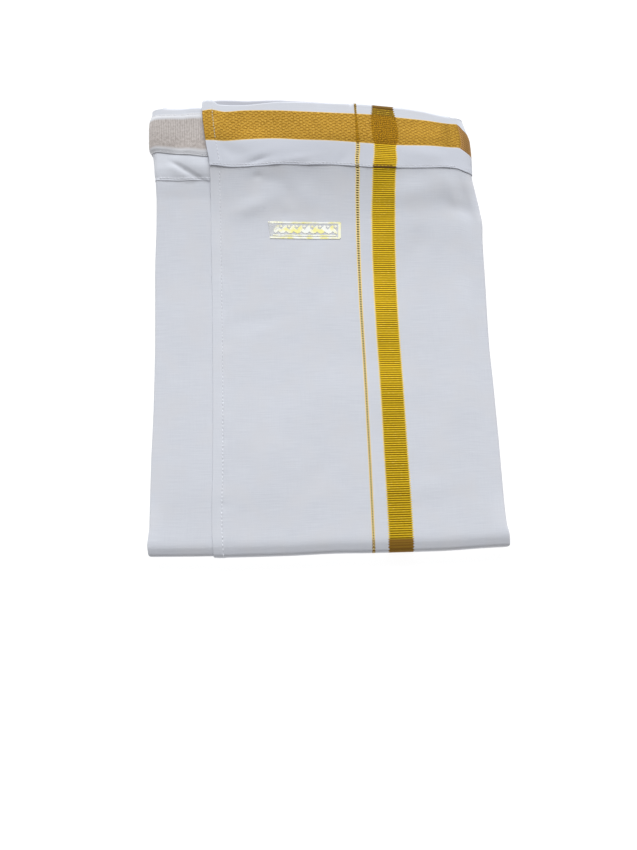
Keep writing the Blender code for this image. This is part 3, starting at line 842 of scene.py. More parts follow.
def zariBorder(add, place, u, v, ground, gilt, relief):
    look = borderLook
    above = add("GREATER_THAN", v, look["low"])
    below = add("LESS_THAN", v, look["high"])
    inside = add("MULTIPLY", above, below)
    # rows of brown floats like fish scales, each row set half a float along
    wander = add("noise", add("stretch", place, look["wander"]), 1.0, 3.0)
    row = add("MULTIPLY", v, 1 / look["floatHeight"])
    shift = add("MULTIPLY_ADD", wander, 1.0, add("MULTIPLY", add("FLOOR", row), 0.5))
    column = add("MULTIPLY_ADD", u, 1 / look["floatWidth"], shift)
    across = add("ABSOLUTE", add("SUBTRACT", add("FRACT", column), 0.5))
    upward = add("SUBTRACT", add("FRACT", row), 0.5)
    upward = add("MULTIPLY_ADD", add("MULTIPLY", across, across), -look["bend"], upward)
    marks = add("spread", add("ABSOLUTE", upward), 0.1, 0.38, 1.0, 0.0)
    ends = add("spread", across, 0.2, 0.4, 1.0, 0.0)
    marks = add("MULTIPLY", marks, ends)
    # the gilt is uneven, so the floats come and go
    grain = add("noise", add("stretch", place, look["grain"]), 1.0, 4.0)
    shown = add("spread", grain, 0.3, 0.55, 0.45, 1.0)
    marks = add("MULTIPLY", marks, shown)
    # painted glints: the gold is paler where the grain is high
    shine = add("spread", grain, 0.42, 0.68)
    gold = add("blend", shine, look["ground"], look["paintedGlint"])
    gold = add("blend", marks, gold, look["mark"])
    # a pale thread runs along both its edges
    fromMiddle = add("ABSOLUTE", add("SUBTRACT", v, (look["low"] + look["high"]) / 2))
    reach = (look["high"] - look["low"]) / 2
    rim = add("spread", fromMiddle, reach - 0.7, reach - 0.4, 0.0, 0.6)
    gold = add("blend", rim, gold, look["rim"])
    # past the side fold the border is painted browner as the fold's shade, with rows of dark dots
    turned = add("spread", u, look["reverseFrom"] - 0.4, look["reverseFrom"] + 0.4)
    turn = 2 * math.pi / look["reversePitch"]
    dots = add("SINE", add("MULTIPLY", v, turn))
    rows = add("SINE", add("MULTIPLY", u, turn * 1.6))
    dots = add("ADD", dots, add("MULTIPLY_ADD", rows, 0.4, 0.5))
    dots = add("spread", dots, 0.6, 1.3, 0.0, 0.8)
    back = add("blend", dots, look["foldShadeBrown"], look["reverseDot"])
    gold = add("blend", turned, gold, back)
    # where the stripe crosses it both golds pack into one close weave
    packed = add("noise", place, 1.45, 1.0)
    packed = add("spread", packed, 0.36, 0.64)
    close = add("blend", packed, look["closeDeep"], look["close"])
    gold = add("blend", gilt, gold, close)
    # painted shade: the band's stripe outside the border is darkened, like its plain cloth below the
    # border
    giltShade = add("MULTIPLY", gilt, look["bandGiltShade"])
    ground = add("blend", giltShade, ground, look["shadedBandGilt"])
    painted = add("blend", inside, ground, gold)
    # above the border the stripe and the ladder line are painted dull brown, darkest round the waist's
    # top as painted shade, with painted glints where the grain is high
    over = add("MULTIPLY", add("GREATER_THAN", v, look["high"]), gilt)
    dull = add("spread", grain, 0.5, 0.62, 0.85, 0.2)
    dull = add("MAXIMUM", dull, add("spread", v, look["topEdge"] - 0.8, look["topEdge"]))
    painted = add("blend", add("MULTIPLY", over, dull), painted, look["above"])
    relief = add("MULTIPLY_ADD", add("MULTIPLY", marks, inside), -0.2, relief)
    return painted, add("MAXIMUM", gilt, inside), relief


# The fastening tape: loop pile knitted in nylon, dull and fluffy, with flat selvages.
tapeLook = {
    "pile": "#C6BEB8",
    "pileDark": "#9C928B",
    "selvage": "#CFCFD1",
    "ribPitch": 1.4,
    "ribsFrom": 11.0,  # the pile is brushed down below and stands in ribs above
    "selvageWidth": (3.6, 3.9),  # below and above
    "roughness": 0.95,
    "sheen": 0.25,
}


def knittedPile(name):
    look = tapeLook
    material, add = newMaterial(name)
    place, u, v = placeIn(add, "weave")
    turn = 2 * math.pi / look["ribPitch"]
    ribs, rows = (add("SINE", add("MULTIPLY", way, turn)) for way in (u, v))
    change = (look["ribsFrom"] - 5, look["ribsFrom"] + 3)
    standing = add("spread", v, *change, 0.0, 0.2)
    dotted = add("spread", v, *change, 0.26, 0.0)
    fluff = add("noise", place, 0.6, 2.0)
    tone = add("MULTIPLY_ADD", ribs, standing, fluff)
    tone = add("MULTIPLY_ADD", add("MULTIPLY", ribs, rows), dotted, tone)
    tone = add("spread", tone, 0.2, 0.8)
    rise = add("spread", v, 4.0, look["ribsFrom"] + 6, -0.2, 0.16)
    pile = add("blend", add("ADD", tone, rise), look["pileDark"], look["pile"])
    # the pile thins out into the selvages
    lowEnd, high = look["selvageWidth"][0], tapeShape["width"] - look["selvageWidth"][1]
    low = add("spread", v, lowEnd - 0.8, lowEnd + 1.6)
    top = add("spread", v, high - 1.0, high + 0.6, 1.0, 0.0)
    painted = add("blend", add("MULTIPLY", low, top), look["selvage"], pile)
    bump = add("bump", tone, 0.5, 0.15 * mm)
    finish = {"Sheen Weight": look["sheen"]}
    add("output", add("surface", painted, look["roughness"], bump, inputs=finish))
    return material


def sewingCotton(name, tint, paler):
    # twisted cotton thread, a little glossier than the cloth
    material, add = newMaterial(name)
    place = add("position").outputs["Object"]
    twist = add("noise", place, 2200.0, 1.0)
    tint = add("blend", twist, tint, paler)
    bump = add("bump", twist, 0.3, 0.05 * mm)
    add("output", add("surface", tint, 0.6, bump))
    return material


# Clear film: thin and glossy, so it takes the colour of the cloth under it.
filmLook = {
    "tint": "#F4F4F4", "clear": "#FFFFFA", "ripple": 260.0,
    "finish": {"Roughness": 0.3, "Alpha": 0.28, "IOR": 1.46},
}
# Hot-stamped foil: pale yellow, worn to darker gold in spots.
foilLook = {
    "bright": "#FFF7A0", "pale": "#FFFFF4", "wearAndShade": "#8E7A34",
    "shimmer": 130.0, "wear": 95.0,
    "roughness": 0.35,
}


def clearFilm(name):
    look = filmLook
    material, add = newMaterial(name)
    place = add("position").outputs["Object"]
    waves = add("noise", place, look["ripple"], 2.0)
    tint = add("blend", add("spread", waves, 0.35, 0.65), look["tint"], look["clear"])
    finish = {"Normal": add("bump", waves, 0.3, 0.2 * mm), **look["finish"]}
    add("output", add("surface", tint, inputs=finish))
    return material


def stampedFoil(name):
    look = foilLook
    material, add = newMaterial(name)
    place = add("position").outputs["Object"]
    # painted highlights: whitish patches by noise stand for the foil's glare
    shine = add("spread", add("noise", place, look["shimmer"], 2.0), 0.40, 0.58)
    wearAndShade = add("spread", add("noise", place, look["wear"], 1.0), 0.64, 0.70)
    tint = add("blend", shine, look["bright"], look["pale"])
    tint = add("blend", wearAndShade, tint, look["wearAndShade"])
    bump = add("bump", shine, 0.2, 0.1 * mm)
    add("output", add("surface", tint, look["roughness"], bump))
    return material


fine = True
curlAngles = np.arange(12, 145, 12.0)
hem = {
    "width": 7.6, "rise": 0.26, "thick": 0.8, "lean": 0.3, "leanWidth": 3.0,
    "stitchAt": 7.0, "stitchPitch": 2.8, "groove": 0.1, "grooveWidth": 0.6,
    "pucker": 0.1, "puckerAt": 9.5, "puckerWidth": 4.5, "puckerSize": 7.0,
}
underside = {"dip": 0.35, "dipSize": 40.0, "fineDip": 0.1, "fineSize": 14.0}  # on the table
handling = ((0.20, 34.0, 1.0), (0.08, 15.0, 0.8), (0.02, 6.0, 1.0))  # rise, size, squeeze
tapeShape = {
    "high": 330.3, "width": 29.2, "thick": 0.7, "selvage": 0.4, "pile": 0.35, "press": 0.45,
    "stitchIn": 1.1,
    "lean": 2.1, "leanAt": -105.0, "leanReach": 18.0,  # its lower edge was sewn on askew
}
leafThick = 0.45
frontWidth = 199.0  # of the front leaf's flat stretch, where it is even
underWidth, underFrom = 230.0, -120.0  # of the under leaf, and where it starts
underSeamWidth = 219.0
underWeave = -160.0  # the weave's own start on the under leaf
bandSpan = 57.0  # of cloth up a waistband, with what turns over its top
bandLevel = 325.0  # stands for all of a waistband's levels


def stepsTo(start, end, step):
    return np.linspace(start, end, max(2, round((end - start) / (step if fine else 2 * step)) + 1))


def leafRows():
    top = stepsTo(1.7, 332.0, 1.7)[::-1]
    fold = -frontTurn * np.linspace(0, 1, 49)
    table = stepsTo(tableEnd, -frontTurn, 6)[-2::-1]
    back = tableEnd - backTurn * np.linspace(0, 1, 13)[1:]
    inside = [tableEnd - backTurn - stack["backReturn"]]
    return np.concatenate([top, fold, table, back, inside])[:, None]


def rimmed(distance, thick):
    # 1 inside a sheet, and falling in a half circle to its rounded edge
    t = np.clip(distance * 2 / thick, 0, 1)
    return np.maximum(np.sqrt(1 - (1 - t) ** 2), 0.06)


def frontColumns():
    edge = [0, 0.08, 0.2, 0.4, 0.7, 1.1, 1.8, 2.8, 4.0, 5.2, 6.1, 6.6, 7.0, 7.4, 7.8, 8.4, 9.4, 10.8]
    flat = np.concatenate([edge, stepsTo(12.4, frontWidth, 1.6)]) / frontWidth
    share = np.concatenate([flat, np.ones(len(curlAngles))])[None, :]
    angle = np.concatenate([np.zeros(len(flat)), curlAngles])[None, :]
    return share, angle


def underColumns(step=1.5):
    flat = np.concatenate([stepsTo(0, 48, step), stepsTo(54, underWidth, 8)]) / underWidth
    share = np.concatenate([np.zeros(len(curlAngles)), flat])[None, :]
    angle = np.concatenate([curlAngles[::-1], np.zeros(len(flat))])[None, :]
    return share, angle


def handled(x, up, seed):
    # the faint waviness of cloth that has been ironed, folded and handled
    height = 0.0
    for n, (rise, size, squeeze) in enumerate(handling):
        height = height + rise * crumple(x, up * squeeze, size, seed + n)
    return height


def hemRidge(fromEdge):
    return hem["rise"] * (1 - smooth(hem["width"] - 0.5, hem["width"] + 0.9, fromEdge))


def frontRelief(share, up):
    # what stands above or below the leaf's plain form: hem, its stitching, creases
    x = frontFlatX(share, up)
    fromEdge = x - frontGuide["free"](up)
    y = rowY(frontBand, x, up)
    beat = 0.55 + 0.45 * np.cos(2 * math.pi * up / hem["stitchPitch"])
    groove = hem["groove"] * beat * bell(fromEdge - hem["stitchAt"], hem["grooveWidth"])
    pucker = hem["pucker"] * bell(fromEdge - hem["puckerAt"], hem["puckerWidth"])
    pucker = pucker * crumple(x, up, hem["puckerSize"], 3)
    top = creased(handlingCreases, x, y) + handled(x, up, 31)
    table = -underside["dip"] * np.abs(crumple(x, up, underside["dipSize"], 41))
    table = table - underside["fineDip"] * np.abs(crumple(x, up, underside["fineSize"], 42))
    inward = smooth(5, 35, up) * top + smooth(frontTurn, frontTurn + 30, -up) * table
    inward = inward * smooth(0, 12, frontGuide["crease"](up) - x)
    lean = hem["lean"] * bell(fromEdge, hem["leanWidth"])
    onTop = smooth(-frontTurn, -frontTurn / 2, up)
    return onTop * (hemRidge(fromEdge) - groove + pucker - lean) + inward


def edgePlaces(share, up):
    return frontFlatX(share, up) - frontGuide["free"](up), up + 0 * share


def stripePlace(share, angle, up):
    # the place across the cloth from the stripe's middle, as woven. Where the cloth
    # leans the stripe looks wider or narrower, and its neighbours move with it.
    away = frontFlatX(share, up) - stripeGuide["middle"](up)
    half, wovenHalf = stripeGuide["half"](up), zariLook["stripeHalf"]
    ladder, wovenLadder = ladderGuide["middle"](up) - stripeGuide["middle"](up), zariLook["ladder"]
    between = (wovenLadder + wovenHalf) * (away + half) / (ladder + half) - wovenHalf
    woven = np.where(away < -half, between, away * wovenHalf / half)
    woven = np.where(away < ladder, wovenLadder + away - ladder, woven)
    woven = np.where(away > half, wovenHalf + away - half, woven)
    return woven + np.radians(angle) * (frontGuide["reach"](up) + 1.0)


def makeFrontLeaf(material):
    share, angle = frontColumns()
    up = leafRows()
    relief = frontRelief(share, up)
    fromEdge, _ = edgePlaces(share, up)
    single = smooth(hem["width"] - 0.3, hem["width"] + 0.6, fromEdge)
    thick = hem["thick"] + (leafThick - hem["thick"]) * single
    middle = wall + relief - thick / 2
    half = thick / 2 * rimmed(fromEdge, hem["thick"])
    layers = [frontPoint(share, angle, up, 0.0, middle + side * half) for side in (1, -1)]
    weave = {"weave": (stripePlace(share, angle, up), up), "edge": edgePlaces(share, up)}
    return sheetPiece("frontLeaf", layers, weave, material)


def makeUnderLeaf(material):
    share, angle = underColumns()
    up = leafRows()
    x = share * underWidth + underFrom
    relief = 0.6 * handled(x, up, 51) * smooth(0, 12, x - underFrom) * smooth(5, 35, up)
    relief = relief + 0.5 * smooth(262, 281, up)
    outer = wall + 0.4 * smooth(-frontTurn, 0, up) + relief
    layers = [underPoint(share, angle, up, 0.0, out) for out in (outer, outer - leafThick)]
    around = -np.radians(angle) * 1.5
    return sheetPiece("underLeaf", layers, {"weave": (x + underWeave + around, up)}, material)


# Above both waistbands' sewn edges run a groove under the stitching and small gathers.
seamGroove = {"at": 2.0, "width": 0.9}
seamGathers = {"reach": 5.0, "size": 7.0, "stretch": 0.3}
frontBandLook = {
    "thick": 0.5,
    "facingThick": 0.4,
    "edgeThick": 0.4,
    "press": 0.8,  # how far the sewn edge is pulled down on the leaf
    "pressWidth": 24.0,
    "groove": 0.06,
    "gather": 0.22,
    "wobble": 0.35,  # of the sewn edge's line
    "turn": 150.0,
    "facingTo": 23.0,  # the facing stands free of the front ply as far as here
}


def seamGathered(look, x, fromSeam, seed):
    near = look["gather"] * bell(fromSeam, seamGathers["reach"])
    return near * crumple(x, fromSeam * seamGathers["stretch"], seamGathers["size"], seed)


def bandCourse(length, turnFrom, radius):
    # flat up to turnFrom above the seam and then round the band's top edge
    up = seamUp + np.minimum(length, turnFrom)
    angle = np.degrees(np.maximum(0, length - turnFrom) / radius)
    return up, angle


def bandCloth(fraction, x, step, thick):
    # how far up the band's own cloth each row lies; where the front ply has slipped
    # down its facing, it ends before the turned edge
    radius = stack["turnIn"] + ply + wall - thick / 2
    turnFrom = topUp - seamUp - stack["turnIn"] - ply - wall
    slips = step > 0.05
    lost = np.where(slips, step - radius, 0)
    slipped = np.where(step < radius, np.degrees(np.arcsin(np.clip(1 - step / radius, 0, 1))), 0.0)
    turn = np.where(slips, slipped, frontBandLook["turn"] + 0 * step)
    turn = np.where(~slips & (x < frontBandLook["facingTo"]), 90.0, turn)
    end = turnFrom + radius * np.radians(turn) - np.maximum(0, lost)
    return bandCourse(fraction * end, turnFrom, radius)


def bandFractions(step):
    edge = np.array([0, 0.06, 0.15, 0.3, 0.6, 1.0, 1.6, 2.4])
    flat = stepsTo(3.3, bandSpan - 7, step)
    return np.concatenate([edge, flat, np.linspace(bandSpan - 7, bandSpan, 16)[1:]])[:, None] / bandSpan


def bandWeave(x, y, turned):
    # up the band, in which the border always lies from low to high
    seam, low, high = frontBand["seam"](x), borderGuide["low"](x), borderGuide["high"](x)
    v = np.where(
        y < low,
        borderLook["low"] * (y - seam) / (low - seam),
        borderLook["low"] + (borderLook["high"] - borderLook["low"]) * (y - low) / (high - low),
    )
    return np.where(y > high, borderLook["high"] + (y - high), v) + np.radians(turned) * 2.0


def bandRelief(share, up):
    look = frontBandLook
    x = frontFlatX(share, up)
    y = rowY(frontBand, x, up)
    fromSeam = up - seamUp
    pressed = look["press"] * np.clip(1 - fromSeam / look["pressWidth"], 0, 1) ** 1.2
    pressed = pressed + look["groove"] * bell(fromSeam - seamGroove["at"], seamGroove["width"])
    gathered = seamGathered(look, x, fromSeam, 11)
    away = smooth(0, 12, frontGuide["crease"](up) - x)
    folds = creased(bandCreases, x, y) + 0.8 * handled(x, up * 1.5, 61)
    return away * (gathered + folds) - pressed


def makeFrontWaistband(material):
    look = frontBandLook
    share, angle = frontColumns()
    fraction = bandFractions(1.0)
    x = frontFlatX(share, bandLevel)
    up, topAngle = bandCloth(fraction, x, frontBand["step"](x) + 0 * fraction, look["thick"])
    fromEdge, _ = edgePlaces(share, up)
    relief = bandRelief(share, up) + hemRidge(fromEdge)
    up = up + look["wobble"] * crumple(x, 0.0, 9.0, 17) * np.exp(-fraction * bandSpan / 3.0)
    thick = look["edgeThick"] + (look["thick"] - look["edgeThick"]) * smooth(0, 8, up - seamUp)
    middle = ply + wall + relief - thick / 2
    fromTop = (1 - fraction) * bandSpan
    half = thick / 2 * rimmed(fromEdge, look["thick"]) * rimmed(fromTop, look["thick"])
    half = half * rimmed(up - seamUp, look["edgeThick"])
    layers = [frontPoint(share, angle, up, topAngle, middle + side * half) for side in (1, -1)]
    v = bandWeave(layers[0][0], rowY(frontBand, layers[0][0], up), topAngle)
    weave = {"weave": (stripePlace(share, angle, up), v), "edge": edgePlaces(share, up)}
    return sheetPiece("frontWaistband", layers, weave, material)


def makeWaistFacing(material):
    # the band's inner ply, which stands up to 6 mm above the outer one at the left
    look = frontBandLook
    share, angle = frontColumns()
    kept = frontFlatX(share, bandLevel)[0] < look["facingTo"]
    share, angle = share[:, kept], angle[:, kept]
    fraction = bandFractions(1.5)
    x = frontFlatX(share, bandLevel)
    sunk = 4.0 * smooth(look["facingTo"] - 10, look["facingTo"], x)  # tucked under the front ply
    up, topAngle = bandCloth(fraction, x, 0 * fraction + sunk, look["thick"] + 2 * look["facingThick"])
    up = np.maximum(up, seamUp + 1.0)
    fromEdge, _ = edgePlaces(share, up)
    relief = bandRelief(share, up)
    outer = ply + wall + relief - look["thick"] - 0.06
    middle = outer - look["facingThick"] / 2
    half = look["facingThick"] / 2 * rimmed(fromEdge - 0.3, look["facingThick"])
    layers = [frontPoint(share, angle, up, topAngle, middle + side * half) for side in (1, -1)]
    return sheetPiece("waistFacing", layers, {"weave": (frontFlatX(share, up), up)}, material)


underBandLook = {"thick": 0.5, "press": 0.1, "pressWidth": 7.0, "groove": 0.2, "gather": 0.15}


def makeUnderWaistband(material):
    look = underBandLook
    thick = look["thick"]
    share, angle = underColumns()
    fraction = bandFractions(1.2)
    up, topAngle = bandCloth(fraction, 50 + 0 * share, 0 * fraction + 0 * share, thick)
    fromSeam = up - seamUp
    pressed = look["press"] * (1 - smooth(0, look["pressWidth"], fromSeam))
    pressed = pressed + look["groove"] * bell(fromSeam - seamGroove["at"], seamGroove["width"])
    x = share * underWidth + underFrom
    gathered = seamGathered(look, x, fromSeam, 15)
    middle = ply + wall - pressed + gathered - thick / 2
    half = thick / 2 * rimmed(fromSeam, thick) * rimmed((1 - fraction) * bandSpan, thick)
    layers = [underPoint(share, angle, up, topAngle, middle + side * half) for side in (1, -1)]
    weave = {"weave": (x + underWeave - np.radians(angle) * 1.5, up)}
    return sheetPiece("underWaistband", layers, weave, material)


def tapeLean(x, flat):
    # how far up the tape's rows lie of their even places, most at its lower edge
    shape = tapeShape
    lean = shape["lean"] * np.clip((shape["leanAt"] - x) / shape["leanReach"], -1, 1)
    return lean * (1 - flat / shape["width"])


def tapeOut(fromEdge):
    # the tape's face, whose thin selvages are sewn down below its pile
    standing = smooth(0.6, 2.9, fromEdge)
    return 2 * ply + wall - (tapeShape["pile"] + tapeShape["press"]) * (1 - standing)


def makeLoopTape(material):
    shape = tapeShape
    share, angle = underColumns(0.75)
    edge = np.array([0, 0.08, 0.2, 0.4, 0.8])
    between = stepsTo(1.4, shape["width"] - 1.4, 0.9)
    flat = np.concatenate([edge, between, shape["width"] - edge[::-1]])[:, None]
    up = shape["high"] - shape["width"] + flat
    fromEdge = np.minimum(flat, shape["width"] - flat)
    pile = smooth(1.7, 2.9, fromEdge)
    x = share * underWidth
    up = up + tapeLean(x + underFrom, flat)
    fluff = 0.08 * crumple(x, up, 1.4, 21)
    outer = tapeOut(fromEdge) + pile * fluff
    thick = shape["selvage"] + pile * (shape["thick"] + shape["pile"] - shape["selvage"])
    half = thick / 2 * rimmed(fromEdge, shape["selvage"])
    layers = [underPoint(share, angle, up, 0.0, outer - thick / 2 + side * half) for side in (1, -1)]
    around = -np.radians(angle) * (leftGuide["reach"](up) + 3.0)
    return sheetPiece("loopTape", layers, {"weave": (x + around, flat)}, material)


# The hidden folds: each lip is two plies of cloth turned on themselves.
layersLook = {
    "thicknesses": (1.2, 0.8, 1.1, 0.7, 1.3, 0.9),
    "insets": (  # of each lip at the left, the right and the back
        (0.5, 1.0, 1.8), (1.5, 0.2, 0.4), (0.2, 1.4, 2.6),
        (1.1, 0.0, 1.2), (0.0, 0.8, 0.0), (0.9, 1.6, 2.2),
    ),
    "groove": 0.9,
    "wander": 0.5,
    "leftInset": 1.5,
    "backInset": 5.0,
    "width": 215.0,
    "endUp": -318.0,
}


def hiddenPoint(share, up, inward, leftIn, rightIn, backIn):
    # inward runs from 0 at the layers' skin to 1 at the middle of the stack
    core = (stack["height"] - 4 * ply - stack["air"]) / 2
    level = up + 0 * share
    y = 0 * level
    for _ in range(2):
        left = leftGuide["crease"](level) + layersLook["leftInset"] + leftIn
        right = innerRight(level) - rightIn
        x = left + (right - left) * share
        back = underBand["top"](x) - layersLook["backInset"] - backIn
        y = rowY(underBand, x, np.minimum(up, seamUp))
        y = y + (back - y) * np.maximum(0, up - seamUp) / (topUp - seamUp)
        level = np.where(up > 0, levelAt(x, y), up)
    lowY, lowZ = wrap(x, y, 0.0, np.minimum(up, -1e-6), 2 * ply + core * inward)
    lowY = lowY - np.where(up < -frontTurn, backIn, 0)
    skin = stack["height"] - 2 * ply + bodyRise(x, y) - foldDroop(up)
    highZ = skin - (skin - stack["height"] / 2 - stack["air"] / 2) * inward
    return x, np.where(up >= 0, y, lowY), np.where(up >= 0, highZ, lowZ)


def makeFoldedLayers(material):
    look = layersLook
    rows = leafRows()
    end = look["endUp"]
    up = np.concatenate([[[topUp], [topUp - 2]], rows[rows[:, 0] > end], [[end]]])
    if fine:
        up = np.concatenate([up[:1], up[1:][up[1:, 0] > 0][::3], up[1:][up[1:, 0] <= 0]])
    wide = look["width"]
    places = [stepsTo(0, 9, 3), stepsTo(20, wide - 15, 12), stepsTo(wide - 6, wide, 3)]
    share = np.concatenate(places)[None, :] / wide
    edges = np.concatenate([[0], np.cumsum(look["thicknesses"])]) / sum(look["thicknesses"])
    layers = []
    for n, (left, right, back) in enumerate(look["insets"]):
        wander = look["wander"] * (1 + crumple(0.0, up, 30.0, 70 + n))
        for within in np.array([0, 0.12, 0.3, 0.5, 0.7, 0.88]):
            groove = look["groove"] * (1 - np.abs(np.sin(math.pi * within)) ** 0.6)
            inward = edges[n] + (edges[n + 1] - edges[n]) * within
            insets = (left + groove + wander, right + groove + wander, back + groove + wander)
            layers.append(hiddenPoint(share, up, inward, *insets))
    innermost = [inset + look["groove"] for inset in look["insets"][-1]]
    layers.append(hiddenPoint(share, up, 1.0, *innermost))
    return sheetPiece("foldedLayers", layers, {"weave": (share * wide, up)}, material)


labelShape = {
    "x": -14.9, "y": 76.9, "width": 53.5, "height": 12.8, "tilt": -2.3,
    "slant": 2.4,  # the left end leans
    "filmHeight": 0.16, "filmThick": 0.08, "foilThick": 0.06,
    "corner": (-24.0, 4.0), "cornerReach": (5.0, 3.0), "cornerLift": 0.5,  # it has come up
    "frame": 1.25,
    "motifs": 8,
    "motif": (  # shape, place along and aside, turn and size
        ("leaf", 0.0, 0.9, 66, 1.0),
        ("leaf", 2.7, -0.6, -46, 0.76),
        ("disc", 3.3, 3.0, 0, 0.9),
    ),
}


def labelPoint(along, aside, height):
    shape = labelShape
    turn = math.radians(shape["tilt"])
    x = shape["x"] + along * math.cos(turn) - aside * math.sin(turn)
    y = shape["y"] + along * math.sin(turn) + aside * math.cos(turn)
    up = levelAt(x, y)
    share = (x - frontGuide["free"](up)) / (frontGuide["crease"](up) - frontGuide["free"](up))
    relief = frontRelief(share, up)
    return x, y, stack["height"] + bodyRise(x, y) - foldDroop(up) + relief + height


def makeLabelFilm(material):
    shape = labelShape
    column = np.linspace(-0.5, 0.5, 45)[None, :]
    aside = np.linspace(-0.5, 0.5, 13)[:, None] * shape["height"]
    lean = shape["slant"] * (0.5 - column) * (aside / shape["height"] - 0.5)
    along = column * shape["width"] - lean * 0.8
    (cornerAlong, cornerAside), (reach, sideReach) = shape["corner"], shape["cornerReach"]
    away = ((along - cornerAlong) / reach) ** 2 + ((aside - cornerAside) / sideReach) ** 2
    high = shape["filmHeight"] + shape["cornerLift"] * np.exp(-away)
    layers = [labelPoint(along, aside, high + part * shape["filmThick"]) for part in (1, 0)]
    return sheetPiece("labelFilm", layers, {"weave": (along, aside)}, material)


def flatShape(outline, centre, turn, size):
    # points of a small outline, scaled, turned and moved on the label
    cosTurn, sinTurn = math.cos(turn), math.sin(turn)
    return [
        (centre[0] + size * (a * cosTurn - b * sinTurn), centre[1] + size * (a * sinTurn + b * cosTurn))
        for a, b in outline
    ]


def makeLabelFoil(material):
    # a ruled frame round a plain running pattern of leaves and dots
    shape = labelShape
    w, h, line = shape["width"] / 2, shape["height"] / 2, shape["frame"] / 2
    outlines = []

    def ruled(ax, ay, bx, by, wide, parts):
        for n in range(parts):
            s, e = n / parts, (n + 1) / parts
            px, py = ax + (bx - ax) * s, ay + (by - ay) * s
            qx, qy = ax + (bx - ax) * e, ay + (by - ay) * e
            length = math.hypot(qx - px, qy - py)
            ox, oy = -(qy - py) / length * wide, (qx - px) / length * wide
            outlines.append([
                (px - ox, py - oy), (qx - ox, qy - oy), (qx + ox, qy + oy), (px + ox, py + oy),
            ])

    ruled(-w + 0.3, h - 0.5, w - 0.5, h - 0.5, line, 26)
    ruled(-w + 1.7, -h + 0.5, w - 0.5, -h + 0.5, line * 1.1, 26)
    ruled(w - 0.8, -h + 0.5, w - 0.8, h - 0.5, line * 1.6, 6)
    turns = np.linspace(0, 2 * math.pi, 15)[:-1]
    shapes = {
        "leaf": [(math.cos(t) * 3.4, math.sin(t) * (1.6 - 0.45 * math.cos(t))) for t in turns],
        "disc": [(math.cos(t), math.sin(t)) for t in np.linspace(0, 2 * math.pi, 11)[:-1]],
    }
    pitch = (shape["width"] - 8) / shape["motifs"]
    for n in range(shape["motifs"]):
        x = -w + 4.6 + pitch * (n + 0.35)
        for kind, along, aside, turn, size in shape["motif"]:
            outlines.append(flatShape(shapes[kind], (x + along, aside), math.radians(turn), size))
    ruled(-w + 4.0, -4.0, w - 3.4, -4.0, 0.42, 24)
    points, faces = [], []
    for outline in outlines:
        base, count = len(points), len(outline)
        for high in (shape["filmThick"] + shape["foilThick"], shape["filmThick"]):
            out = shape["filmHeight"] + high
            points += [np.array(labelPoint(np.float64(a), np.float64(b), out)) for a, b in outline]
        top = list(range(base, base + count))
        faces.append(top)
        faces.append([n + count for n in reversed(top)])
        for n in range(count):
            m = (n + 1) % count
            faces.append([base + n, base + n + count, base + m + count, base + m])
    foil = newPiece("labelFoil", np.array(points), faces, material)
    foil.data.shade_flat()
    return foil


def hemLine(up, aside):
    width = frontGuide["crease"](up) - frontGuide["free"](up)
    share = (hem["stitchAt"] - aside) / width
    sunk = 0.34 * smooth(0, frontTurn, -up)  # so that the table doesn't meet the thread
    return frontPoint(share, 0.0, up, 0.0, wall + frontRelief(share, up) - sunk)


def bandFace(share, up):
    return ply + wall + bandRelief(share, up) + hemRidge(edgePlaces(share, up)[0])


def bandHemLine(up, aside):
    width = frontGuide["crease"](up) - frontGuide["free"](up)
    share = (hem["stitchAt"] + 0.6 - aside) / width
    return frontPoint(share, 0.0, up, 0.0, bandFace(share, up))


def bandSeamLine(t, aside):
    up = seamUp + 1.8 + aside
    free, crease = frontGuide["free"](up), frontGuide["crease"](up)
    share = (t - free) / (crease - free)
    return frontPoint(share, 0.0, up, 0.0, bandFace(share, up))


def underSeamLine(t, aside):
    up = seamUp + 1.8 + aside
    return underPoint(t / underSeamWidth, 0.0, up, 0.0, ply + wall)


def tapeLine(flat):
    def at(t, aside):
        up = tapeShape["high"] - tapeShape["width"] + flat + tapeLean(t + underFrom, flat) + aside
        return underPoint(t / underSeamWidth, 0.0, up, 0.0, tapeOut(tapeShape["stitchIn"]))

    return at


stitchLook = {
    "hem": {"pitch": 2.8, "length": 1.9, "thick": 0.42},
    "band": {"pitch": 2.6, "length": 2.0, "thick": 0.3},
    "bandHem": {"pitch": 2.2, "length": 1.6, "thick": 0.62},
    "tape": {"pitch": 2.6, "length": 1.9, "thick": 0.24},
}

whiteCotton = wovenCotton("bleachedCotton")
doubledCotton = wovenCotton("doubledCotton", doubled=cottonLook["doubled"])
# its greyer tint is partly painted shade of the standing facing
facingCotton = wovenCotton("facingCotton", single=1.0)
stripedCotton = wovenCotton("zariStripedCotton", stripe=True)
borderedCotton = wovenCotton(
    "zariBorderedCotton", stripe=True, border=True, doubled=cottonLook["doubled"]
)
nylonPile = knittedPile("nylonLoopPile")
whiteThread = sewingCotton("whiteSewingThread", "#ECEDF1", "#F8F8FA")
creamThread = sewingCotton("creamSewingThread", "#DCCBA6", "#E9DDC0")
goldThread = sewingCotton("goldSewingThread", "#6E4E12", "#9A7424")

frontLeaf = makeFrontLeaf(stripedCotton)
underLeaf = makeUnderLeaf(whiteCotton)
foldedLayers = makeFoldedLayers(whiteCotton)
frontWaistband = makeFrontWaistband(borderedCotton)
waistFacing = makeWaistFacing(facingCotton)
underWaistband = makeUnderWaistband(doubledCotton)
loopTape = makeLoopTape(nylonPile)
labelFilm = makeLabelFilm(clearFilm("clearLabelFilm"))
labelFoil = makeLabelFoil(stampedFoil("stampedGoldFoil"))

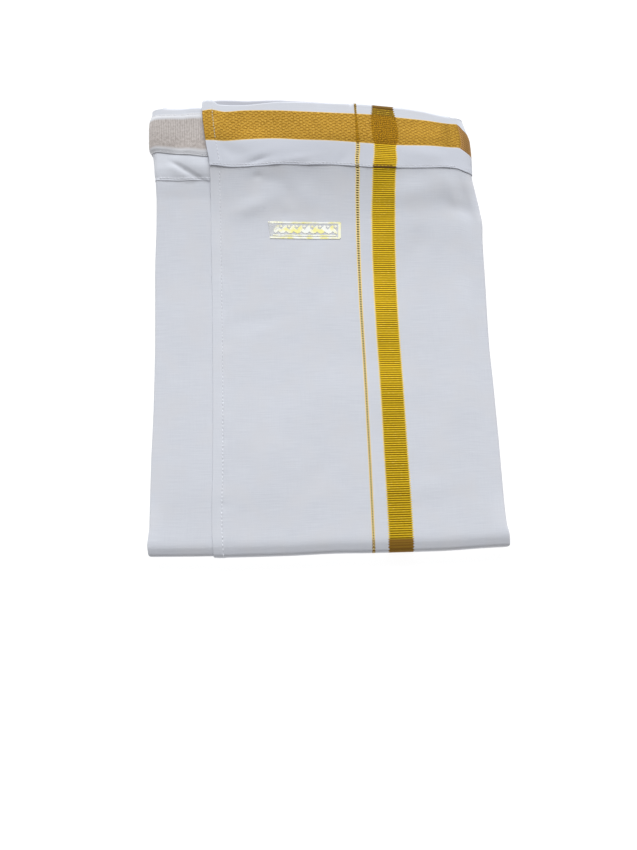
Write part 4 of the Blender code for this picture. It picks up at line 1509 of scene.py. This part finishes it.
# the seam is sewn with gold thread across the stripe
stripeAt, stripeReach = (float(stripeGuide[name](seamUp)) for name in ("middle", "half"))
giltFrom, giltTo = stripeAt - stripeReach, stripeAt + stripeReach
tapeTop, tapeLow = tapeShape["width"] - tapeShape["stitchIn"], tapeShape["stitchIn"]
stitches = {
    name: stitchRow(name, line, start, end, stitchLook[look], thread)
    for name, line, start, end, look, thread in (
        ("hemStitches", hemLine, tableEnd + 6, 281, "hem", whiteThread),
        ("bandHemStitches", bandHemLine, 304, 328.5, "bandHem", creamThread),
        ("lowHemStitches", bandHemLine, 286, 303, "hem", whiteThread),
        ("bandSeamStitches", bandSeamLine, -81, giltFrom, "band", whiteThread),
        ("giltSeamStitches", bandSeamLine, giltFrom, giltTo, "band", goldThread),
        ("farSeamStitches", bandSeamLine, giltTo, 100, "band", whiteThread),
        ("underSeamStitches", underSeamLine, 0.5, 60, "band", whiteThread),
        ("tapeTopStitches", tapeLine(tapeTop), 0.5, 60, "tape", whiteThread),
        ("tapeLowStitches", tapeLine(tapeLow), 0.5, 60, "tape", whiteThread),
    )
}

for piece, node in (
    (frontLeaf, "front_leaf"),
    (underLeaf, "under_leaf"),
    (foldedLayers, "folded_layers"),
    (frontWaistband, "front_waistband"),
    (waistFacing, "front_waistband"),
    (underWaistband, "under_waistband"),
    (loopTape, "loop_tape"),
    (labelFilm, "foil_label"),
    (labelFoil, "foil_label"),
):
    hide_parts(node)

# The studio: a lit white table, one broad soft light from behind, and a dim even room.
studio = {
    "boardTint": "#6E6E6E",
    "boardPale": "#727272",
    "boardGlow": 0.93,
    "boardHalf": 3.0,  # m
    "lightTint": "#F8FBFF",
    "lightStrength": 4.18,
    "lightSpread": 44.0,
    "lightHeight": 31.0,  # above the horizon
    "lightFrom": 0.0,  # from straight behind towards the right
    "roomTint": "#FAFAFD",
    "room": 0.36,
    "cameraAt": (-10.13, -269.56, 769.9),
    "cameraTilt": 14.0,
    "cameraTurn": -1.8,
    "lens": 47.05,
}


def litBoard(name):
    # white acrylic lit from below, which leaves only a faint shadow
    material, add = newMaterial(name)
    place = add("position").outputs["Object"]
    tint = add("blend", add("noise", place, 3.0, 2.0), studio["boardTint"], studio["boardPale"])
    glow = {"Emission Color": "#FFFFFF", "Emission Strength": studio["boardGlow"]}
    add("output", add("surface", tint, 0.9, inputs=glow))
    return material


def makeStudio():
    half = studio["boardHalf"]
    corners = [(-half, -half, 0), (half, -half, 0), (half, half, 0), (-half, half, 0)]
    mesh = bpy.data.meshes.new("floor")
    mesh.from_pydata(corners, [], [(0, 1, 2, 3)])
    mesh.materials.append(litBoard("litAcrylicBoard"))
    floor = placed("floor", mesh)
    floor.location.z = -0.1 * mm
    light = bpy.data.lights.new("softLight", "SUN")
    light.energy = studio["lightStrength"]
    light.color = colour(studio["lightTint"])[:3]
    light.angle = math.radians(studio["lightSpread"])
    lean, turn = studio["lightHeight"] - 90, -studio["lightFrom"]
    placed("softLight", light).rotation_euler = (math.radians(lean), 0, math.radians(turn))
    room = bpy.data.worlds.new("dimRoom")
    room.use_nodes = True
    glow = room.node_tree.nodes["Background"].inputs
    glow["Color"].default_value = colour(studio["roomTint"])
    glow["Strength"].default_value = studio["room"]
    bpy.context.scene.world = room
    camera = bpy.data.cameras.new("camera")
    camera.lens = studio["lens"]
    eye = placed("camera", camera)
    eye.location = [n * mm for n in studio["cameraAt"]]
    eye.rotation_euler = (math.radians(studio["cameraTilt"]), 0, math.radians(studio["cameraTurn"]))
    bpy.context.scene.camera = eye
    bpy.context.scene.view_settings.view_transform = "Standard"


makeStudio()
print("studio ready")
